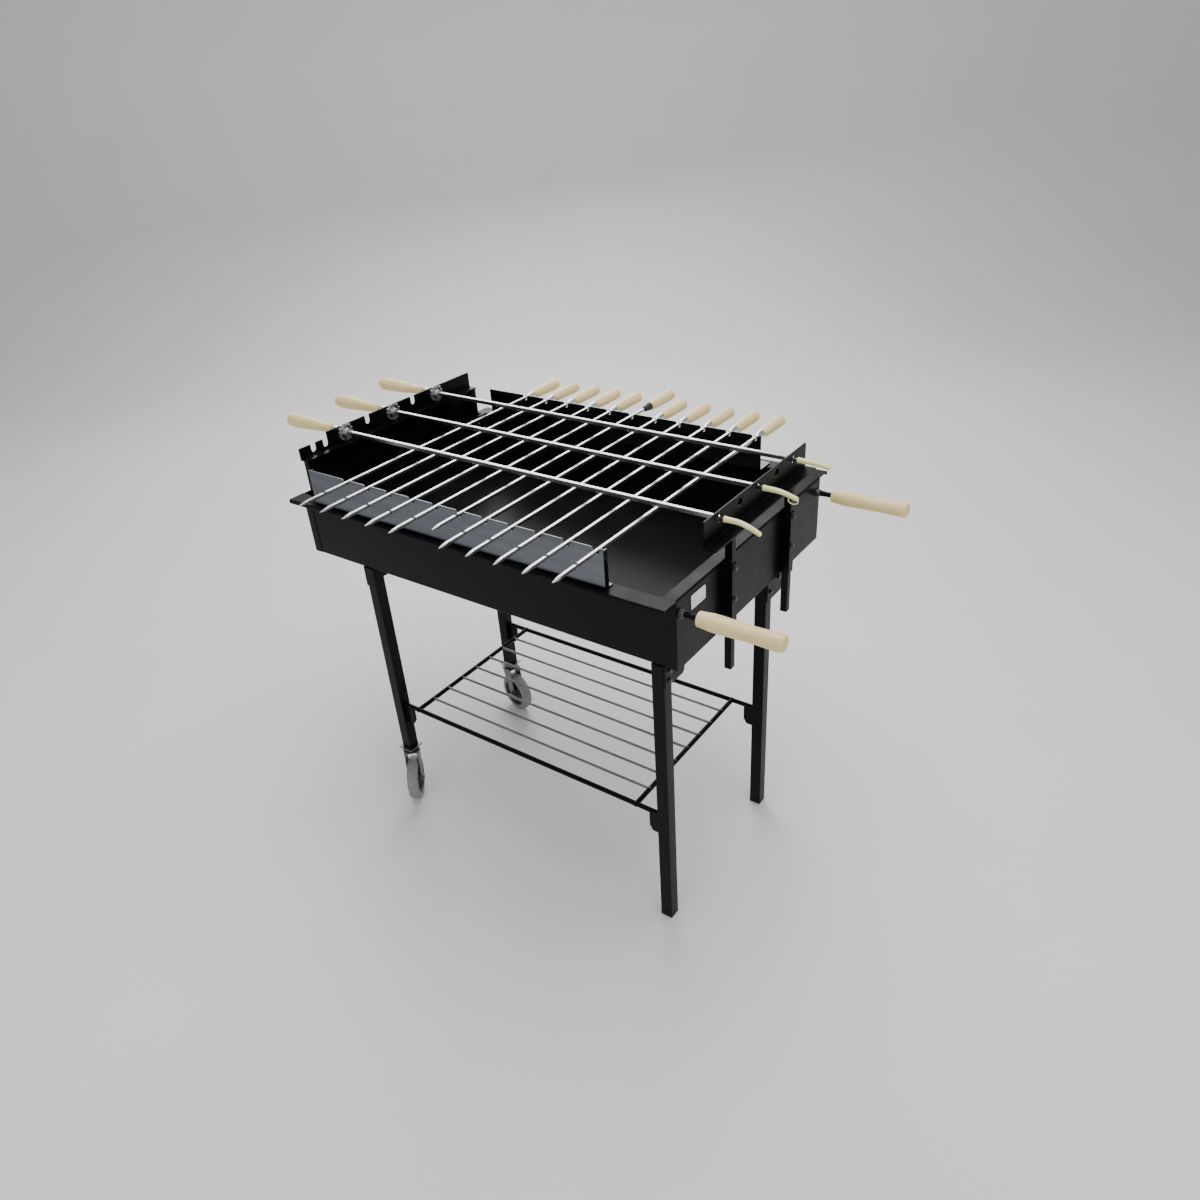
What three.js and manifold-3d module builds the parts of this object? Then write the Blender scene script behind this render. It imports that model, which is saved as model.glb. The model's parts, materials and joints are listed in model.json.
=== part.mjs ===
// A charcoal spit roaster: an open sheet-steel firebox on four legs, two of them on castors,
// with three long spits along it, eleven small skewers across it and a wire shelf below.
// Millimetres, +Z up. The pieces are laid out with x = 0 and y = 0 at the middle of the firebox
// and z = 0 on the floor; the last lines move the whole to the centre of its own footprint.
import * as THREE from "three";
import { mergeVertices } from "three/addons/utils/BufferGeometryUtils.js";
import Module from "manifold-3d";

const wasm = await Module();
wasm.setup();

// ---- driving dimensions ----
const GAP = 0.3; // between pieces that touch
const SHEET = 2;

const BOX_LENGTH = 900;
const BOX_DEPTH = 546;
const BOX_HEIGHT = 134;
const BOX_BOTTOM = 606;
const FLANGE_WIDTH = 36; // outward, along the front and the rear
const FLANGE_HEM = 8;
const END_LIP = 26; // inward, at the two ends

const LEG_TUBE = 25;
const LEG_INSET_RIGHT = 40; // leg centres from the firebox's ends
const LEG_INSET_LEFT = { front: 163, rear: 148 };
const LEG_INSET_FRONT = 11;
const LEG_SPREAD = 379; // front legs to rear legs
const CASTOR_HEIGHT = 135;

const BRACKET = { thickness: 3, depth: 62, frontHeight: 44, rearHeight: 72 };

const SHELF_HEIGHT = 256;
const SHELF_RAIL_RADIUS = 5;
const SHELF_ROD_RADIUS = 2.8;
const SHELF_RODS = 7;
const SHELF_CROSS_INSET_LEFT = 54; // cross rails from the front legs' centres
const SHELF_CROSS_INSET_RIGHT = 67;
const SHELF_LUG = { width: 24, thickness: 6, height: 42 };

const SPIT_HEIGHT = 222; // axis above the firebox's bottom
const SPIT_SPACING = 138;
const SPIT_BAR = 8;
const SPIT_GRIP = { outerEnd: -625, innerEnd: -485 };
const SPIT_TIP = 480;
const SPIT_POINT = { start: 9, step: 2, half: 2.5, tip: 6 }; // the thinner end past the right rest
const SPIT_TANG = { radius: 3, length: 90 }; // in the wooden grip
const TIP_GUARD = { length: 64, radius: 5.4 };
const GEAR = { start: -447, width: 6, radius: 19, teeth: 14, toothDepth: 2.4, rimInner: 13.4 };
const GEAR_HUB = { radius: 8.6, length: 12, rim: 1 };
const GEAR_SPOKES = { count: 4, halfAngle: 0.2 };

const POST = 14; // square bars that carry the spit rests
const POST_SLEEVE = 18;
const RIGHT_POST_SPREAD = 226;
const RIGHT_POST_FOOT = -84; // from the firebox's bottom
const RIGHT_POST_OUT = 9; // post axis outside the right wall
const LEFT_POST_SPREAD = 498;
const LEFT_POST_FOOT = 30;
const LEFT_POST_IN = 11; // post axis inside the left wall's outer face

const REST_PLATE = 3;
const RIGHT_REST = { length: 380, bottom: 187, top: 236, ledge: 25 };
const RIGHT_REST_HOLE_RADIUS = 7.5;
const LEFT_REST = { length: 514, skirt: 40, skirtInset: 14, bottom: 199, top: 236, ledge: 23 };
const LEFT_REST_STEP = { top: 224 }; // the lower stretch at its front end
const LEFT_REST_NOTCH = { width: 13.5, depth: 20 };
const STEP_NOTCH = { width: 13.5, depth: 18 };

const SKEWER_COUNT = 11;
const SKEWER_PITCH = 58.8;
const SKEWER_FIRST_INSET = 180; // first skewer from the left end
const SKEWER_HEIGHT = 201;
const SKEWER_BAR = 6;
const SKEWER_TIP = -140; // distances along a skewer, from the firebox's front wall
const SKEWER_NECK = -77;
const SKEWER_FERRULE = 526;
const SKEWER_FERRULE_LENGTH = 24;
const SKEWER_GRIP_LENGTH = 90;
const PULLED_SKEWER = 6;
const PULLED_BACK = 45;

const RACK_TOP = 208;
const RACK_LEFT_INSET = 72;
const RACK_RIGHT_INSET = 118;
const RACK_FRONT_PLACE = -24; // plate centres, from the firebox's front wall
const RACK_REAR_PLACE = 522;
const RACK_FRONT_FOOT = 20;
const RACK_REAR_FOOT = 44;
const RACK_NOTCH = { width: 10.5, depth: 12.2, shoulder: 5 };
const RACK_RETURN = 10;

const CARRY_HEIGHT = 106;
const CARRY_INSET = 12; // rod axes from the front and rear walls
const CARRY_ROD_RADIUS = 5;
const CARRY_HEAD = { radius: 9, length: 5 };
const CARRY_GRIP = { start: 33, length: 149, boreDepth: 130 };

const WHEEL_RADIUS = 50;
const WHEEL_WIDTH = 24;
const CASTOR_TRAIL = 15;
const CASTOR_TURN = { front: -0.92, rear: -0.25 }; // rest headings, in radians

const LABEL = { width: 46, height: 26, thickness: 1, place: 67, centre: 108 };

// ---- places that follow from them ----
const LEFT = -BOX_LENGTH / 2;
const RIGHT = BOX_LENGTH / 2;
const FRONT = -BOX_DEPTH / 2;
const REAR = BOX_DEPTH / 2;
const RIM = BOX_BOTTOM + BOX_HEIGHT;
const LEG_Y = { front: FRONT + LEG_INSET_FRONT, rear: FRONT + LEG_INSET_FRONT + LEG_SPREAD };
const LEGS = ["front", "rear"].flatMap((side) => [
  { side, end: "left", inward: 1, x: LEFT + LEG_INSET_LEFT[side], y: LEG_Y[side], foot: CASTOR_HEIGHT },
  { side, end: "right", inward: -1, x: RIGHT - LEG_INSET_RIGHT, y: LEG_Y[side], foot: 0 },
]);
const SPIT_Y = { front: -SPIT_SPACING, middle: 0, rear: SPIT_SPACING };
const HALF_STEP_Y = [-SPIT_SPACING / 2, SPIT_SPACING / 2];
const STEP_NOTCH_Y = [FRONT + 52, FRONT + 84]; // two spare notches at the left rest's front end

const PAINT = { color: 0x0f1011, roughness: 0.42, metalness: 0.4 };
const BLUED = { color: 0x596068, roughness: 0.3, metalness: 1 };
const STEEL = { color: 0xc9c8c2, roughness: 0.26, metalness: 1 };
const ZINC = { color: 0x8f9396, roughness: 0.4, metalness: 0.9 };
const WOOD = { color: 0xe0c89c, roughness: 0.6, metalness: 0 };
const TYRE = { color: 0x6f7375, roughness: 0.75, metalness: 0 };
const VINYL = { color: 0xe9e4b0, roughness: 0.45, metalness: 0 };
const PAPER = { color: 0xf2f2ef, roughness: 0.5, metalness: 0 };

// ---- shape helpers ----
const UP = new THREE.Vector3(0, 1, 0);
const TO_X = new THREE.Quaternion().setFromUnitVectors(UP, new THREE.Vector3(1, 0, 0));
const TO_Y = new THREE.Quaternion();
const TO_Z = new THREE.Quaternion().setFromUnitVectors(UP, new THREE.Vector3(0, 0, 1));
const AXES = { x: TO_X, y: TO_Y, z: TO_Z };

// A box between two corners.
function block(x0, x1, y0, y1, z0, z1) {
  const geometry = new THREE.BoxGeometry(x1 - x0, y1 - y0, z1 - z0);
  return geometry.translate((x0 + x1) / 2, (y0 + y1) / 2, (z0 + z1) / 2);
}

// A turned shape. Each station is [distance along the axis, radius], the first one lowest.
function turned(stations, axis, sides) {
  const profile = stations.map(([distance, radius]) => new THREE.Vector2(radius, distance));
  return new THREE.LatheGeometry(profile, sides).applyQuaternion(AXES[axis]);
}

// A square bar along an axis. Each station is [distance along the axis, half its width].
function squareBar(stations, axis) {
  const corners = stations.map(([distance, half]) => new THREE.Vector2(half * Math.SQRT2, distance));
  const geometry = new THREE.LatheGeometry(corners, 4, Math.PI / 4);
  return geometry.applyQuaternion(AXES[axis]);
}

function rod(radius, start, end, axis, sides = 10) {
  return turned([[start, 0], [start, radius], [end, radius], [end, 0]], axis, sides);
}

// A flat plate: an outline in its own plane, given a thickness.
function plate(outline, thickness) {
  return new THREE.ExtrudeGeometry(outline, { depth: thickness, bevelEnabled: false, curveSegments: 6 });
}

// Turns a plate drawn in (x, y) so that its outline lies in the (y, z) plane, thickness along +x.
function standAcross(geometry) {
  const turn = new THREE.Matrix4().set(0, 0, 1, 0, 1, 0, 0, 0, 0, 1, 0, 0, 0, 0, 0, 1);
  return geometry.applyMatrix4(turn);
}

// Turns a plate drawn in (x, y) so that its outline lies in the (x, z) plane, thickness along -y.
function standAlong(geometry) {
  return geometry.rotateX(Math.PI / 2);
}

function solidOf(geometry) {
  const bare = geometry.clone();
  bare.deleteAttribute("normal");
  bare.deleteAttribute("uv");
  const merged = mergeVertices(bare, 1e-4);
  const mesh = new wasm.Mesh({
    numProp: 3,
    vertProperties: new Float32Array(merged.attributes.position.array),
    triVerts: new Uint32Array(merged.index.array),
  });
  return new wasm.Manifold(mesh);
}

function geometryOf(solid) {
  const mesh = solid.getMesh();
  const geometry = new THREE.BufferGeometry();
  geometry.setAttribute("position", new THREE.BufferAttribute(new Float32Array(mesh.vertProperties), 3));
  geometry.setIndex(new THREE.BufferAttribute(new Uint32Array(mesh.triVerts), 1));
  return geometry.toNonIndexed();
}

// Joins some shapes into one and cuts others out of it.
function build(joined, cut = []) {
  let solid = solidOf(joined[0]);
  for (const shape of joined.slice(1)) {
    solid = solid.add(solidOf(shape));
  }
  for (const shape of cut) {
    solid = solid.subtract(solidOf(shape));
  }
  return geometryOf(solid);
}

function piece(name, geometry, look) {
  if (!geometry.getAttribute("normal")) {
    geometry.computeVertexNormals();
  }
  const mesh = new THREE.Mesh(geometry, new THREE.MeshStandardMaterial(look));
  mesh.name = name;
  return mesh;
}

// ---- firebox: tray, flanges, end lips, the sleeves of the posts and the leg brackets ----
function postPlaces(x, spread) {
  return [-spread / 2, spread / 2].map((y) => ({ x, y }));
}
const RIGHT_POSTS = postPlaces(RIGHT + RIGHT_POST_OUT, RIGHT_POST_SPREAD);
const LEFT_POSTS = postPlaces(LEFT + LEFT_POST_IN, LEFT_POST_SPREAD);

function squareColumn({ x, y }, side, z0, z1) {
  return block(x - side / 2, x + side / 2, y - side / 2, y + side / 2, z0, z1);
}

function firebox() {
  const floorTop = BOX_BOTTOM + SHEET;
  const above = RIM + 5;
  const inner = RIGHT - SHEET;
  const tray = block(LEFT, RIGHT, FRONT, REAR, BOX_BOTTOM, RIM);
  const hollow = block(-inner, inner, FRONT + SHEET, REAR - SHEET, floorTop, above);
  const joined = [];
  for (const side of [-1, 1]) {
    const wall = side * REAR;
    const edge = side * (REAR + FLANGE_WIDTH);
    const [y0, y1] = [Math.min(wall, edge), Math.max(wall, edge)];
    const hemY = side > 0 ? [edge - SHEET, edge] : [edge, edge + SHEET];
    joined.push(block(LEFT, RIGHT, y0, y1, RIM - SHEET, RIM));
    joined.push(block(LEFT, RIGHT, hemY[0], hemY[1], RIM - FLANGE_HEM, RIM - SHEET));
    const lipX = side > 0 ? [RIGHT - END_LIP, inner] : [-inner, LEFT + END_LIP];
    joined.push(block(lipX[0], lipX[1], FRONT + SHEET, REAR - SHEET, RIM - SHEET, RIM));
  }
  const sleeveHoles = [];
  const holeSide = POST + 2 * GAP;
  for (const place of RIGHT_POSTS) {
    joined.push(squareColumn(place, POST_SLEEVE, BOX_BOTTOM + 4, RIM - 4));
    sleeveHoles.push(squareColumn(place, holeSide, BOX_BOTTOM, RIM));
  }
  for (const place of LEFT_POSTS) {
    joined.push(squareColumn(place, POST_SLEEVE, floorTop, RIM - SHEET));
    sleeveHoles.push(squareColumn(place, holeSide, floorTop, above));
  }
  for (const { side, inward, x, y } of LEGS) {
    const face = x - inward * (LEG_TUBE / 2 + GAP);
    const outer = face - inward * BRACKET.thickness;
    const near = y - LEG_TUBE / 2;
    const height = side === "front" ? BRACKET.frontHeight : BRACKET.rearHeight;
    joined.push(block(Math.min(face, outer), Math.max(face, outer), near, near + BRACKET.depth,
      BOX_BOTTOM - height, BOX_BOTTOM));
  }
  const carryHoles = [FRONT + CARRY_INSET, REAR - CARRY_INSET].map((y) =>
    rod(CARRY_ROD_RADIUS + GAP, RIGHT - 10, RIGHT + 10, "x", 16)
      .translate(0, y, BOX_BOTTOM + CARRY_HEIGHT));
  const shell = geometryOf(solidOf(tray).subtract(solidOf(hollow)));
  return piece("firebox", build([shell, ...joined], [...sleeveHoles, ...carryHoles]), PAINT);
}

// ---- legs, shelf and castors ----
// A square tube with a lug on its inner side, on which a rail of the shelf rests.
function leg({ side, end, inward, x, y, foot }) {
  const top = BOX_BOTTOM - GAP;
  const half = LEG_TUBE / 2;
  const bore = half - SHEET;
  const boreStart = foot > 0 ? foot - 1 : SHEET;
  const tube = block(x - half, x + half, y - half, y + half, foot, top);
  const hollow = block(x - bore, x + bore, y - bore, y + bore, boreStart, top + 1);
  const near = x + inward * half;
  const far = near + inward * SHELF_LUG.width;
  const lugTop = SHELF_HEIGHT - SHELF_RAIL_RADIUS - GAP;
  const lug = block(Math.min(near, far), Math.max(near, far), y - SHELF_LUG.thickness / 2,
    y + SHELF_LUG.thickness / 2, lugTop - SHELF_LUG.height, lugTop);
  return piece(`leg_${side}_${end}`, build([tube, lug], [hollow]), PAINT);
}

function shelf() {
  const crossX = [LEFT + LEG_INSET_LEFT.front + SHELF_CROSS_INSET_LEFT,
    RIGHT - LEG_INSET_RIGHT - SHELF_CROSS_INSET_RIGHT];
  const rails = [];
  for (const [side, y] of Object.entries(LEG_Y)) {
    const [left, right] = LEGS.filter((place) => place.side === side)
      .map(({ x, inward }) => x + inward * (LEG_TUBE / 2 + GAP));
    rails.push(rod(SHELF_RAIL_RADIUS, left, right, "x", 8).translate(0, y, SHELF_HEIGHT));
  }
  for (const x of crossX) {
    rails.push(rod(SHELF_RAIL_RADIUS, LEG_Y.front, LEG_Y.rear, "y", 8).translate(x, 0, SHELF_HEIGHT));
  }
  const pitch = LEG_SPREAD / (SHELF_RODS + 1);
  for (let i = 1; i <= SHELF_RODS; i += 1) {
    const y = LEG_Y.front + i * pitch;
    rails.push(rod(SHELF_ROD_RADIUS, crossX[0], crossX[1], "x", 6).translate(0, y, SHELF_HEIGHT));
  }
  return piece("shelf", build(rails), PAINT);
}

function castorMount(name) {
  const plateTop = CASTOR_HEIGHT - GAP;
  const plateBottom = plateTop - 3;
  const raceBottom = plateBottom - 7;
  const topPlate = block(-19, 19, -19, 19, plateBottom, plateTop);
  const race = turned([[raceBottom, 0], [raceBottom, 13], [plateBottom, 17], [plateBottom + 1, 17],
    [plateBottom + 1, 0]], "z", 20);
  const stem = rod(6, plateTop - 1, plateTop + 32, "z", 12);
  return piece(name, build([topPlate, race, stem]), ZINC);
}

// The fork of a castor, its wheel trailing towards +x.
function castorFork(name) {
  const crownTop = CASTOR_HEIGHT - GAP - 10 - GAP;
  const cheekIn = WHEEL_WIDTH / 2 + 1.5;
  const cheekOut = cheekIn + 2.5;
  const crown = turned([[crownTop - 3, 0], [crownTop - 3, 20], [crownTop - 1, 20], [crownTop, 17],
    [crownTop, 0]], "z", 20);
  const outline = new THREE.Shape();
  outline.moveTo(-17, crownTop - 1);
  outline.lineTo(-14, crownTop - 14);
  outline.lineTo(CASTOR_TRAIL - 10, WHEEL_RADIUS);
  outline.absarc(CASTOR_TRAIL, WHEEL_RADIUS, 10, Math.PI, 2 * Math.PI, false);
  outline.lineTo(17, crownTop - 14);
  outline.lineTo(17, crownTop - 1);
  outline.closePath();
  const cheeks = [cheekOut, -cheekIn].map((y) =>
    standAlong(plate(outline, cheekOut - cheekIn)).translate(0, y, 0));
  const bridge = block(-14, 17, -cheekOut, cheekOut, crownTop - 4, crownTop - 1);
  const axle = rod(4, -cheekOut - 4, cheekOut + 4, "y", 12).translate(CASTOR_TRAIL, 0, WHEEL_RADIUS);
  return piece(name, build([crown, bridge, ...cheeks, axle]), ZINC);
}

function castorWheel(name) {
  const half = WHEEL_WIDTH / 2;
  const bore = 4 + GAP;
  const profile = [[-half, bore], [-half, 12], [-half + 3, 14], [-half + 3, 34], [-half, 37],
    [-half, 45], [-half + 4, WHEEL_RADIUS], [half - 4, WHEEL_RADIUS], [half, 45], [half, 37],
    [half - 3, 34], [half - 3, 14], [half, 12], [half, bore], [-half, bore]];
  const geometry = turned(profile, "y", 32);
  geometry.translate(CASTOR_TRAIL, 0, WHEEL_RADIUS);
  return piece(name, geometry, TYRE);
}

// ---- spit rests on their posts ----
function post(name, { x, y }, foot, top) {
  return piece(name, squareColumn({ x, y }, POST, BOX_BOTTOM + foot, BOX_BOTTOM + top - GAP), PAINT);
}

function rightSpitRest() {
  const half = RIGHT_REST.length / 2;
  const bottom = BOX_BOTTOM + RIGHT_REST.bottom;
  const upright = block(RIGHT, RIGHT + REST_PLATE, -half, half, bottom, BOX_BOTTOM + RIGHT_REST.top);
  const ledge = block(RIGHT, RIGHT + RIGHT_REST.ledge, -half, half, bottom, bottom + REST_PLATE);
  const holes = [...Object.values(SPIT_Y), ...HALF_STEP_Y].map((y) =>
    rod(RIGHT_REST_HOLE_RADIUS, RIGHT - 5, RIGHT + REST_PLATE + 5, "x", 16)
      .translate(0, y, BOX_BOTTOM + SPIT_HEIGHT));
  return piece("right_spit_rest", build([upright, ledge], holes), PAINT);
}

// One notch, open at the top and round at the bottom, drawn from left to right into an outline.
// A shoulder rounds its two upper corners.
function addNotch(outline, centre, top, { width, depth, shoulder = 0 }) {
  const radius = width / 2;
  outline.lineTo(centre - radius - shoulder, top);
  outline.quadraticCurveTo(centre - radius, top, centre - radius, top - shoulder);
  outline.lineTo(centre - radius, top - depth + radius);
  outline.absarc(centre, top - depth + radius, radius, Math.PI, 2 * Math.PI, false);
  outline.lineTo(centre + radius, top - shoulder);
  outline.quadraticCurveTo(centre + radius, top, centre + radius + shoulder, top);
}

function addNotches(outline, centres, top, notch) {
  for (const centre of [...centres].sort((a, b) => a - b)) {
    addNotch(outline, centre, top, notch);
  }
}

// The left rest's plate, seen from the right: a skirt outside the firebox's end wall, the notches
// of the long spits above it, and a lower stretch with two spare notches at its front end.
function leftRestOutline() {
  const half = LEFT_REST.length / 2;
  const skirtStart = LEFT_REST.skirtInset - half;
  const stepEnd = STEP_NOTCH_Y[1] + STEP_NOTCH.width / 2;
  const outline = new THREE.Shape();
  outline.moveTo(half, LEFT_REST.top);
  outline.lineTo(half, LEFT_REST.skirt);
  outline.lineTo(skirtStart, LEFT_REST.skirt);
  outline.lineTo(skirtStart, LEFT_REST.bottom);
  outline.lineTo(-half, LEFT_REST.bottom);
  outline.lineTo(-half, LEFT_REST_STEP.top);
  addNotches(outline, STEP_NOTCH_Y, LEFT_REST_STEP.top, STEP_NOTCH);
  outline.lineTo(stepEnd, LEFT_REST.top);
  addNotches(outline, [...Object.values(SPIT_Y), ...HALF_STEP_Y], LEFT_REST.top, LEFT_REST_NOTCH);
  outline.closePath();
  return outline;
}

function leftSpitRest() {
  const half = LEFT_REST.length / 2;
  const bottom = BOX_BOTTOM + LEFT_REST.bottom;
  const x0 = LEFT - GAP - REST_PLATE;
  const upright = standAcross(plate(leftRestOutline(), REST_PLATE)).translate(x0, 0, BOX_BOTTOM);
  const ledge = block(x0 + REST_PLATE, x0 + LEFT_REST.ledge, -half, half, bottom, bottom + REST_PLATE);
  return piece("left_spit_rest", build([upright, ledge]), PAINT);
}

// ---- long spits ----
// Each is made along the x axis and then put at its own place.
function spitRod(name) {
  const half = SPIT_BAR / 2;
  const ferrule = SPIT_GRIP.innerEnd + GAP;
  const point = RIGHT + SPIT_POINT.start;
  const bar = squareBar([[ferrule + 1, 0], [ferrule + 1, half], [point, half],
    [point + SPIT_POINT.step, SPIT_POINT.half], [SPIT_TIP - SPIT_POINT.tip, SPIT_POINT.half],
    [SPIT_TIP, 0]], "x");
  const collar = turned([[ferrule, 0], [ferrule, 8], [ferrule + 12, 8], [ferrule + 16, 6],
    [ferrule + 16, 0]], "x", 14);
  const tang = rod(SPIT_TANG.radius, SPIT_GRIP.innerEnd - SPIT_TANG.length, ferrule + 1, "x", 8);
  return piece(name, build([bar, collar, tang]), STEEL);
}

function spitGrip(name) {
  const { outerEnd, innerEnd } = SPIT_GRIP;
  const bore = SPIT_TANG.radius + GAP;
  const boreEnd = innerEnd - SPIT_TANG.length - 2;
  const profile = [[outerEnd, 0], [outerEnd, 9], [outerEnd + 3, 12.5], [outerEnd + 10, 14.4],
    [outerEnd + 34, 14.6], [outerEnd + 70, 12.8], [outerEnd + 108, 10], [innerEnd - 14, 9.6],
    [innerEnd - 5, 11], [innerEnd, 10], [innerEnd, bore], [boreEnd, bore], [boreEnd, 0]];
  return piece(name, turned(profile, "x", 16), WOOD);
}

// The toothed wheel by which a motor can turn the spit, drawn around its own axis.
function gearOutline() {
  const root = GEAR.radius - GEAR.toothDepth;
  const step = (2 * Math.PI) / GEAR.teeth;
  // Shares of one tooth's step: the gap between two teeth, then the slopes and top of a tooth.
  const corners = [[0, root], [0.45, root], [0.6, GEAR.radius], [0.85, GEAR.radius]];
  const points = [];
  for (let tooth = 0; tooth < GEAR.teeth; tooth += 1) {
    for (const [part, radius] of corners) {
      const angle = (tooth + part) * step;
      points.push(new THREE.Vector2(radius * Math.cos(angle), radius * Math.sin(angle)));
    }
  }
  return new THREE.Shape(points);
}

function squareHole(half) {
  return new THREE.Path([[-half, -half], [-half, half], [half, half], [half, -half]]
    .map(([x, y]) => new THREE.Vector2(x, y)));
}

function spokeOpening(middle) {
  const reach = Math.PI / GEAR_SPOKES.count - GEAR_SPOKES.halfAngle;
  const opening = new THREE.Path();
  opening.absarc(0, 0, GEAR.rimInner, middle - reach, middle + reach, false);
  opening.absarc(0, 0, GEAR_HUB.radius + GEAR_HUB.rim, middle + reach, middle - reach, true);
  opening.closePath();
  return opening;
}

function spitGear(name) {
  const half = SPIT_BAR / 2 + GAP;
  const wheel = gearOutline();
  const hub = new THREE.Shape().absarc(0, 0, GEAR_HUB.radius, 0, 2 * Math.PI, false);
  for (const shape of [wheel, hub]) {
    shape.holes.push(squareHole(half));
  }
  for (let spoke = 0; spoke < GEAR_SPOKES.count; spoke += 1) {
    wheel.holes.push(spokeOpening(((spoke + 0.5) * 2 * Math.PI) / GEAR_SPOKES.count));
  }
  const disc = standAcross(plate(wheel, GEAR.width)).translate(GEAR.start, 0, 0);
  const boss = standAcross(plate(hub, GEAR_HUB.length - GEAR.width))
    .translate(GEAR.start + GEAR.width, 0, 0);
  return piece(name, build([disc, boss]), ZINC);
}

// A soft sleeve pushed over a spit's point, its free end hanging down.
function tipGuard(name, droop) {
  const start = RIGHT + SPIT_POINT.start + SPIT_POINT.step + GAP;
  const end = start + TIP_GUARD.length;
  const route = new THREE.CatmullRomCurve3([
    new THREE.Vector3(start, 0, 0),
    new THREE.Vector3(start + 22, 0, 0),
    new THREE.Vector3(start + 44, 0, -droop * 0.3),
    new THREE.Vector3(end, 0, -droop),
  ]);
  const section = new THREE.Shape();
  section.absarc(0, 0, TIP_GUARD.radius, 0, 2 * Math.PI, false);
  const tube = new THREE.ExtrudeGeometry(section, { steps: 10, extrudePath: route, curveSegments: 5 });
  const half = SPIT_POINT.half + GAP;
  const bore = squareBar([[start - 3, 0], [start - 3, half], [SPIT_TIP + 1, half], [SPIT_TIP + 1, 0]], "x");
  return piece(name, build([tube], [bore]), VINYL);
}

function longSpit(place, y, droop) {
  const spit = new THREE.Group();
  spit.add(spitRod(`spit_rod_${place}`), spitGrip(`spit_grip_${place}`));
  spit.add(spitGear(`spit_gear_${place}`), tipGuard(`spit_tip_guard_${place}`, droop));
  spit.position.set(0, y, BOX_BOTTOM + SPIT_HEIGHT);
  return spit;
}

// ---- small skewers ----
function skewerX(number) {
  return LEFT + SKEWER_FIRST_INSET + (number - 1) * SKEWER_PITCH;
}

// Each is made along the y axis, with y = 0 at the firebox's front wall.
function skewer(number) {
  const label = String(number).padStart(2, "0");
  const half = SKEWER_BAR / 2;
  const gripStart = SKEWER_FERRULE + SKEWER_FERRULE_LENGTH + GAP;
  const gripEnd = gripStart + SKEWER_GRIP_LENGTH;
  const bar = squareBar([[SKEWER_TIP, 0], [SKEWER_TIP + 16, half + 0.4], [SKEWER_NECK - 3, half],
    [SKEWER_NECK - 2, 1.8], [SKEWER_NECK + 2, 1.8], [SKEWER_NECK + 3, half],
    [SKEWER_FERRULE + 1, half], [SKEWER_FERRULE + 1, 0]], "y");
  const ferrule = turned([[SKEWER_FERRULE, 0], [SKEWER_FERRULE, 4.6], [SKEWER_FERRULE + 4, 6.2],
    [gripStart - GAP, 8.8], [gripStart - GAP, 0]], "y", 12);
  const tang = rod(2.5, gripStart - 1, gripStart + 60, "y", 8);
  const bore = 2.5 + GAP;
  const grip = turned([[gripStart, bore], [gripStart, 9.2], [gripStart + 22, 11.4],
    [gripEnd - 16, 12.2], [gripEnd - 3, 11.6], [gripEnd, 9], [gripEnd, 0],
    [gripStart + 62, 0], [gripStart + 62, bore], [gripStart, bore]], "y", 14);
  const group = new THREE.Group();
  group.add(piece(`skewer_rod_${label}`, build([bar, ferrule, tang]), STEEL));
  group.add(piece(`skewer_grip_${label}`, grip, WOOD));
  const pulled = number === PULLED_SKEWER ? PULLED_BACK : 0;
  group.position.set(skewerX(number), FRONT + pulled, BOX_BOTTOM + SKEWER_HEIGHT);
  return group;
}

// ---- rack that holds the small skewers ----
function rackPlate(name, place, foot, returns) {
  const x0 = LEFT + RACK_LEFT_INSET;
  const x1 = RIGHT - RACK_RIGHT_INSET;
  const bottom = RIM + GAP;
  const y = FRONT + place;
  const notches = Array.from({ length: SKEWER_COUNT }, (_, i) => skewerX(i + 1));
  const outline = new THREE.Shape();
  outline.moveTo(x1, BOX_BOTTOM + RACK_TOP);
  outline.lineTo(x1, bottom);
  outline.lineTo(x0, bottom);
  outline.lineTo(x0, BOX_BOTTOM + RACK_TOP);
  addNotches(outline, notches, BOX_BOTTOM + RACK_TOP, RACK_NOTCH);
  outline.closePath();
  const wall = standAlong(plate(outline, SHEET)).translate(0, y + SHEET / 2, 0);
  const parts = [wall, block(x0, x1, y - SHEET / 2, y + foot, bottom, bottom + SHEET)];
  if (returns) {
    const top = BOX_BOTTOM + RACK_TOP;
    parts.push(block(x0, x0 + SHEET, y - SHEET / 2, y + RACK_RETURN, bottom, top));
    parts.push(block(x1 - SHEET, x1, y - SHEET / 2, y + RACK_RETURN, bottom, top));
  }
  return piece(name, build(parts), BLUED);
}

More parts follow.
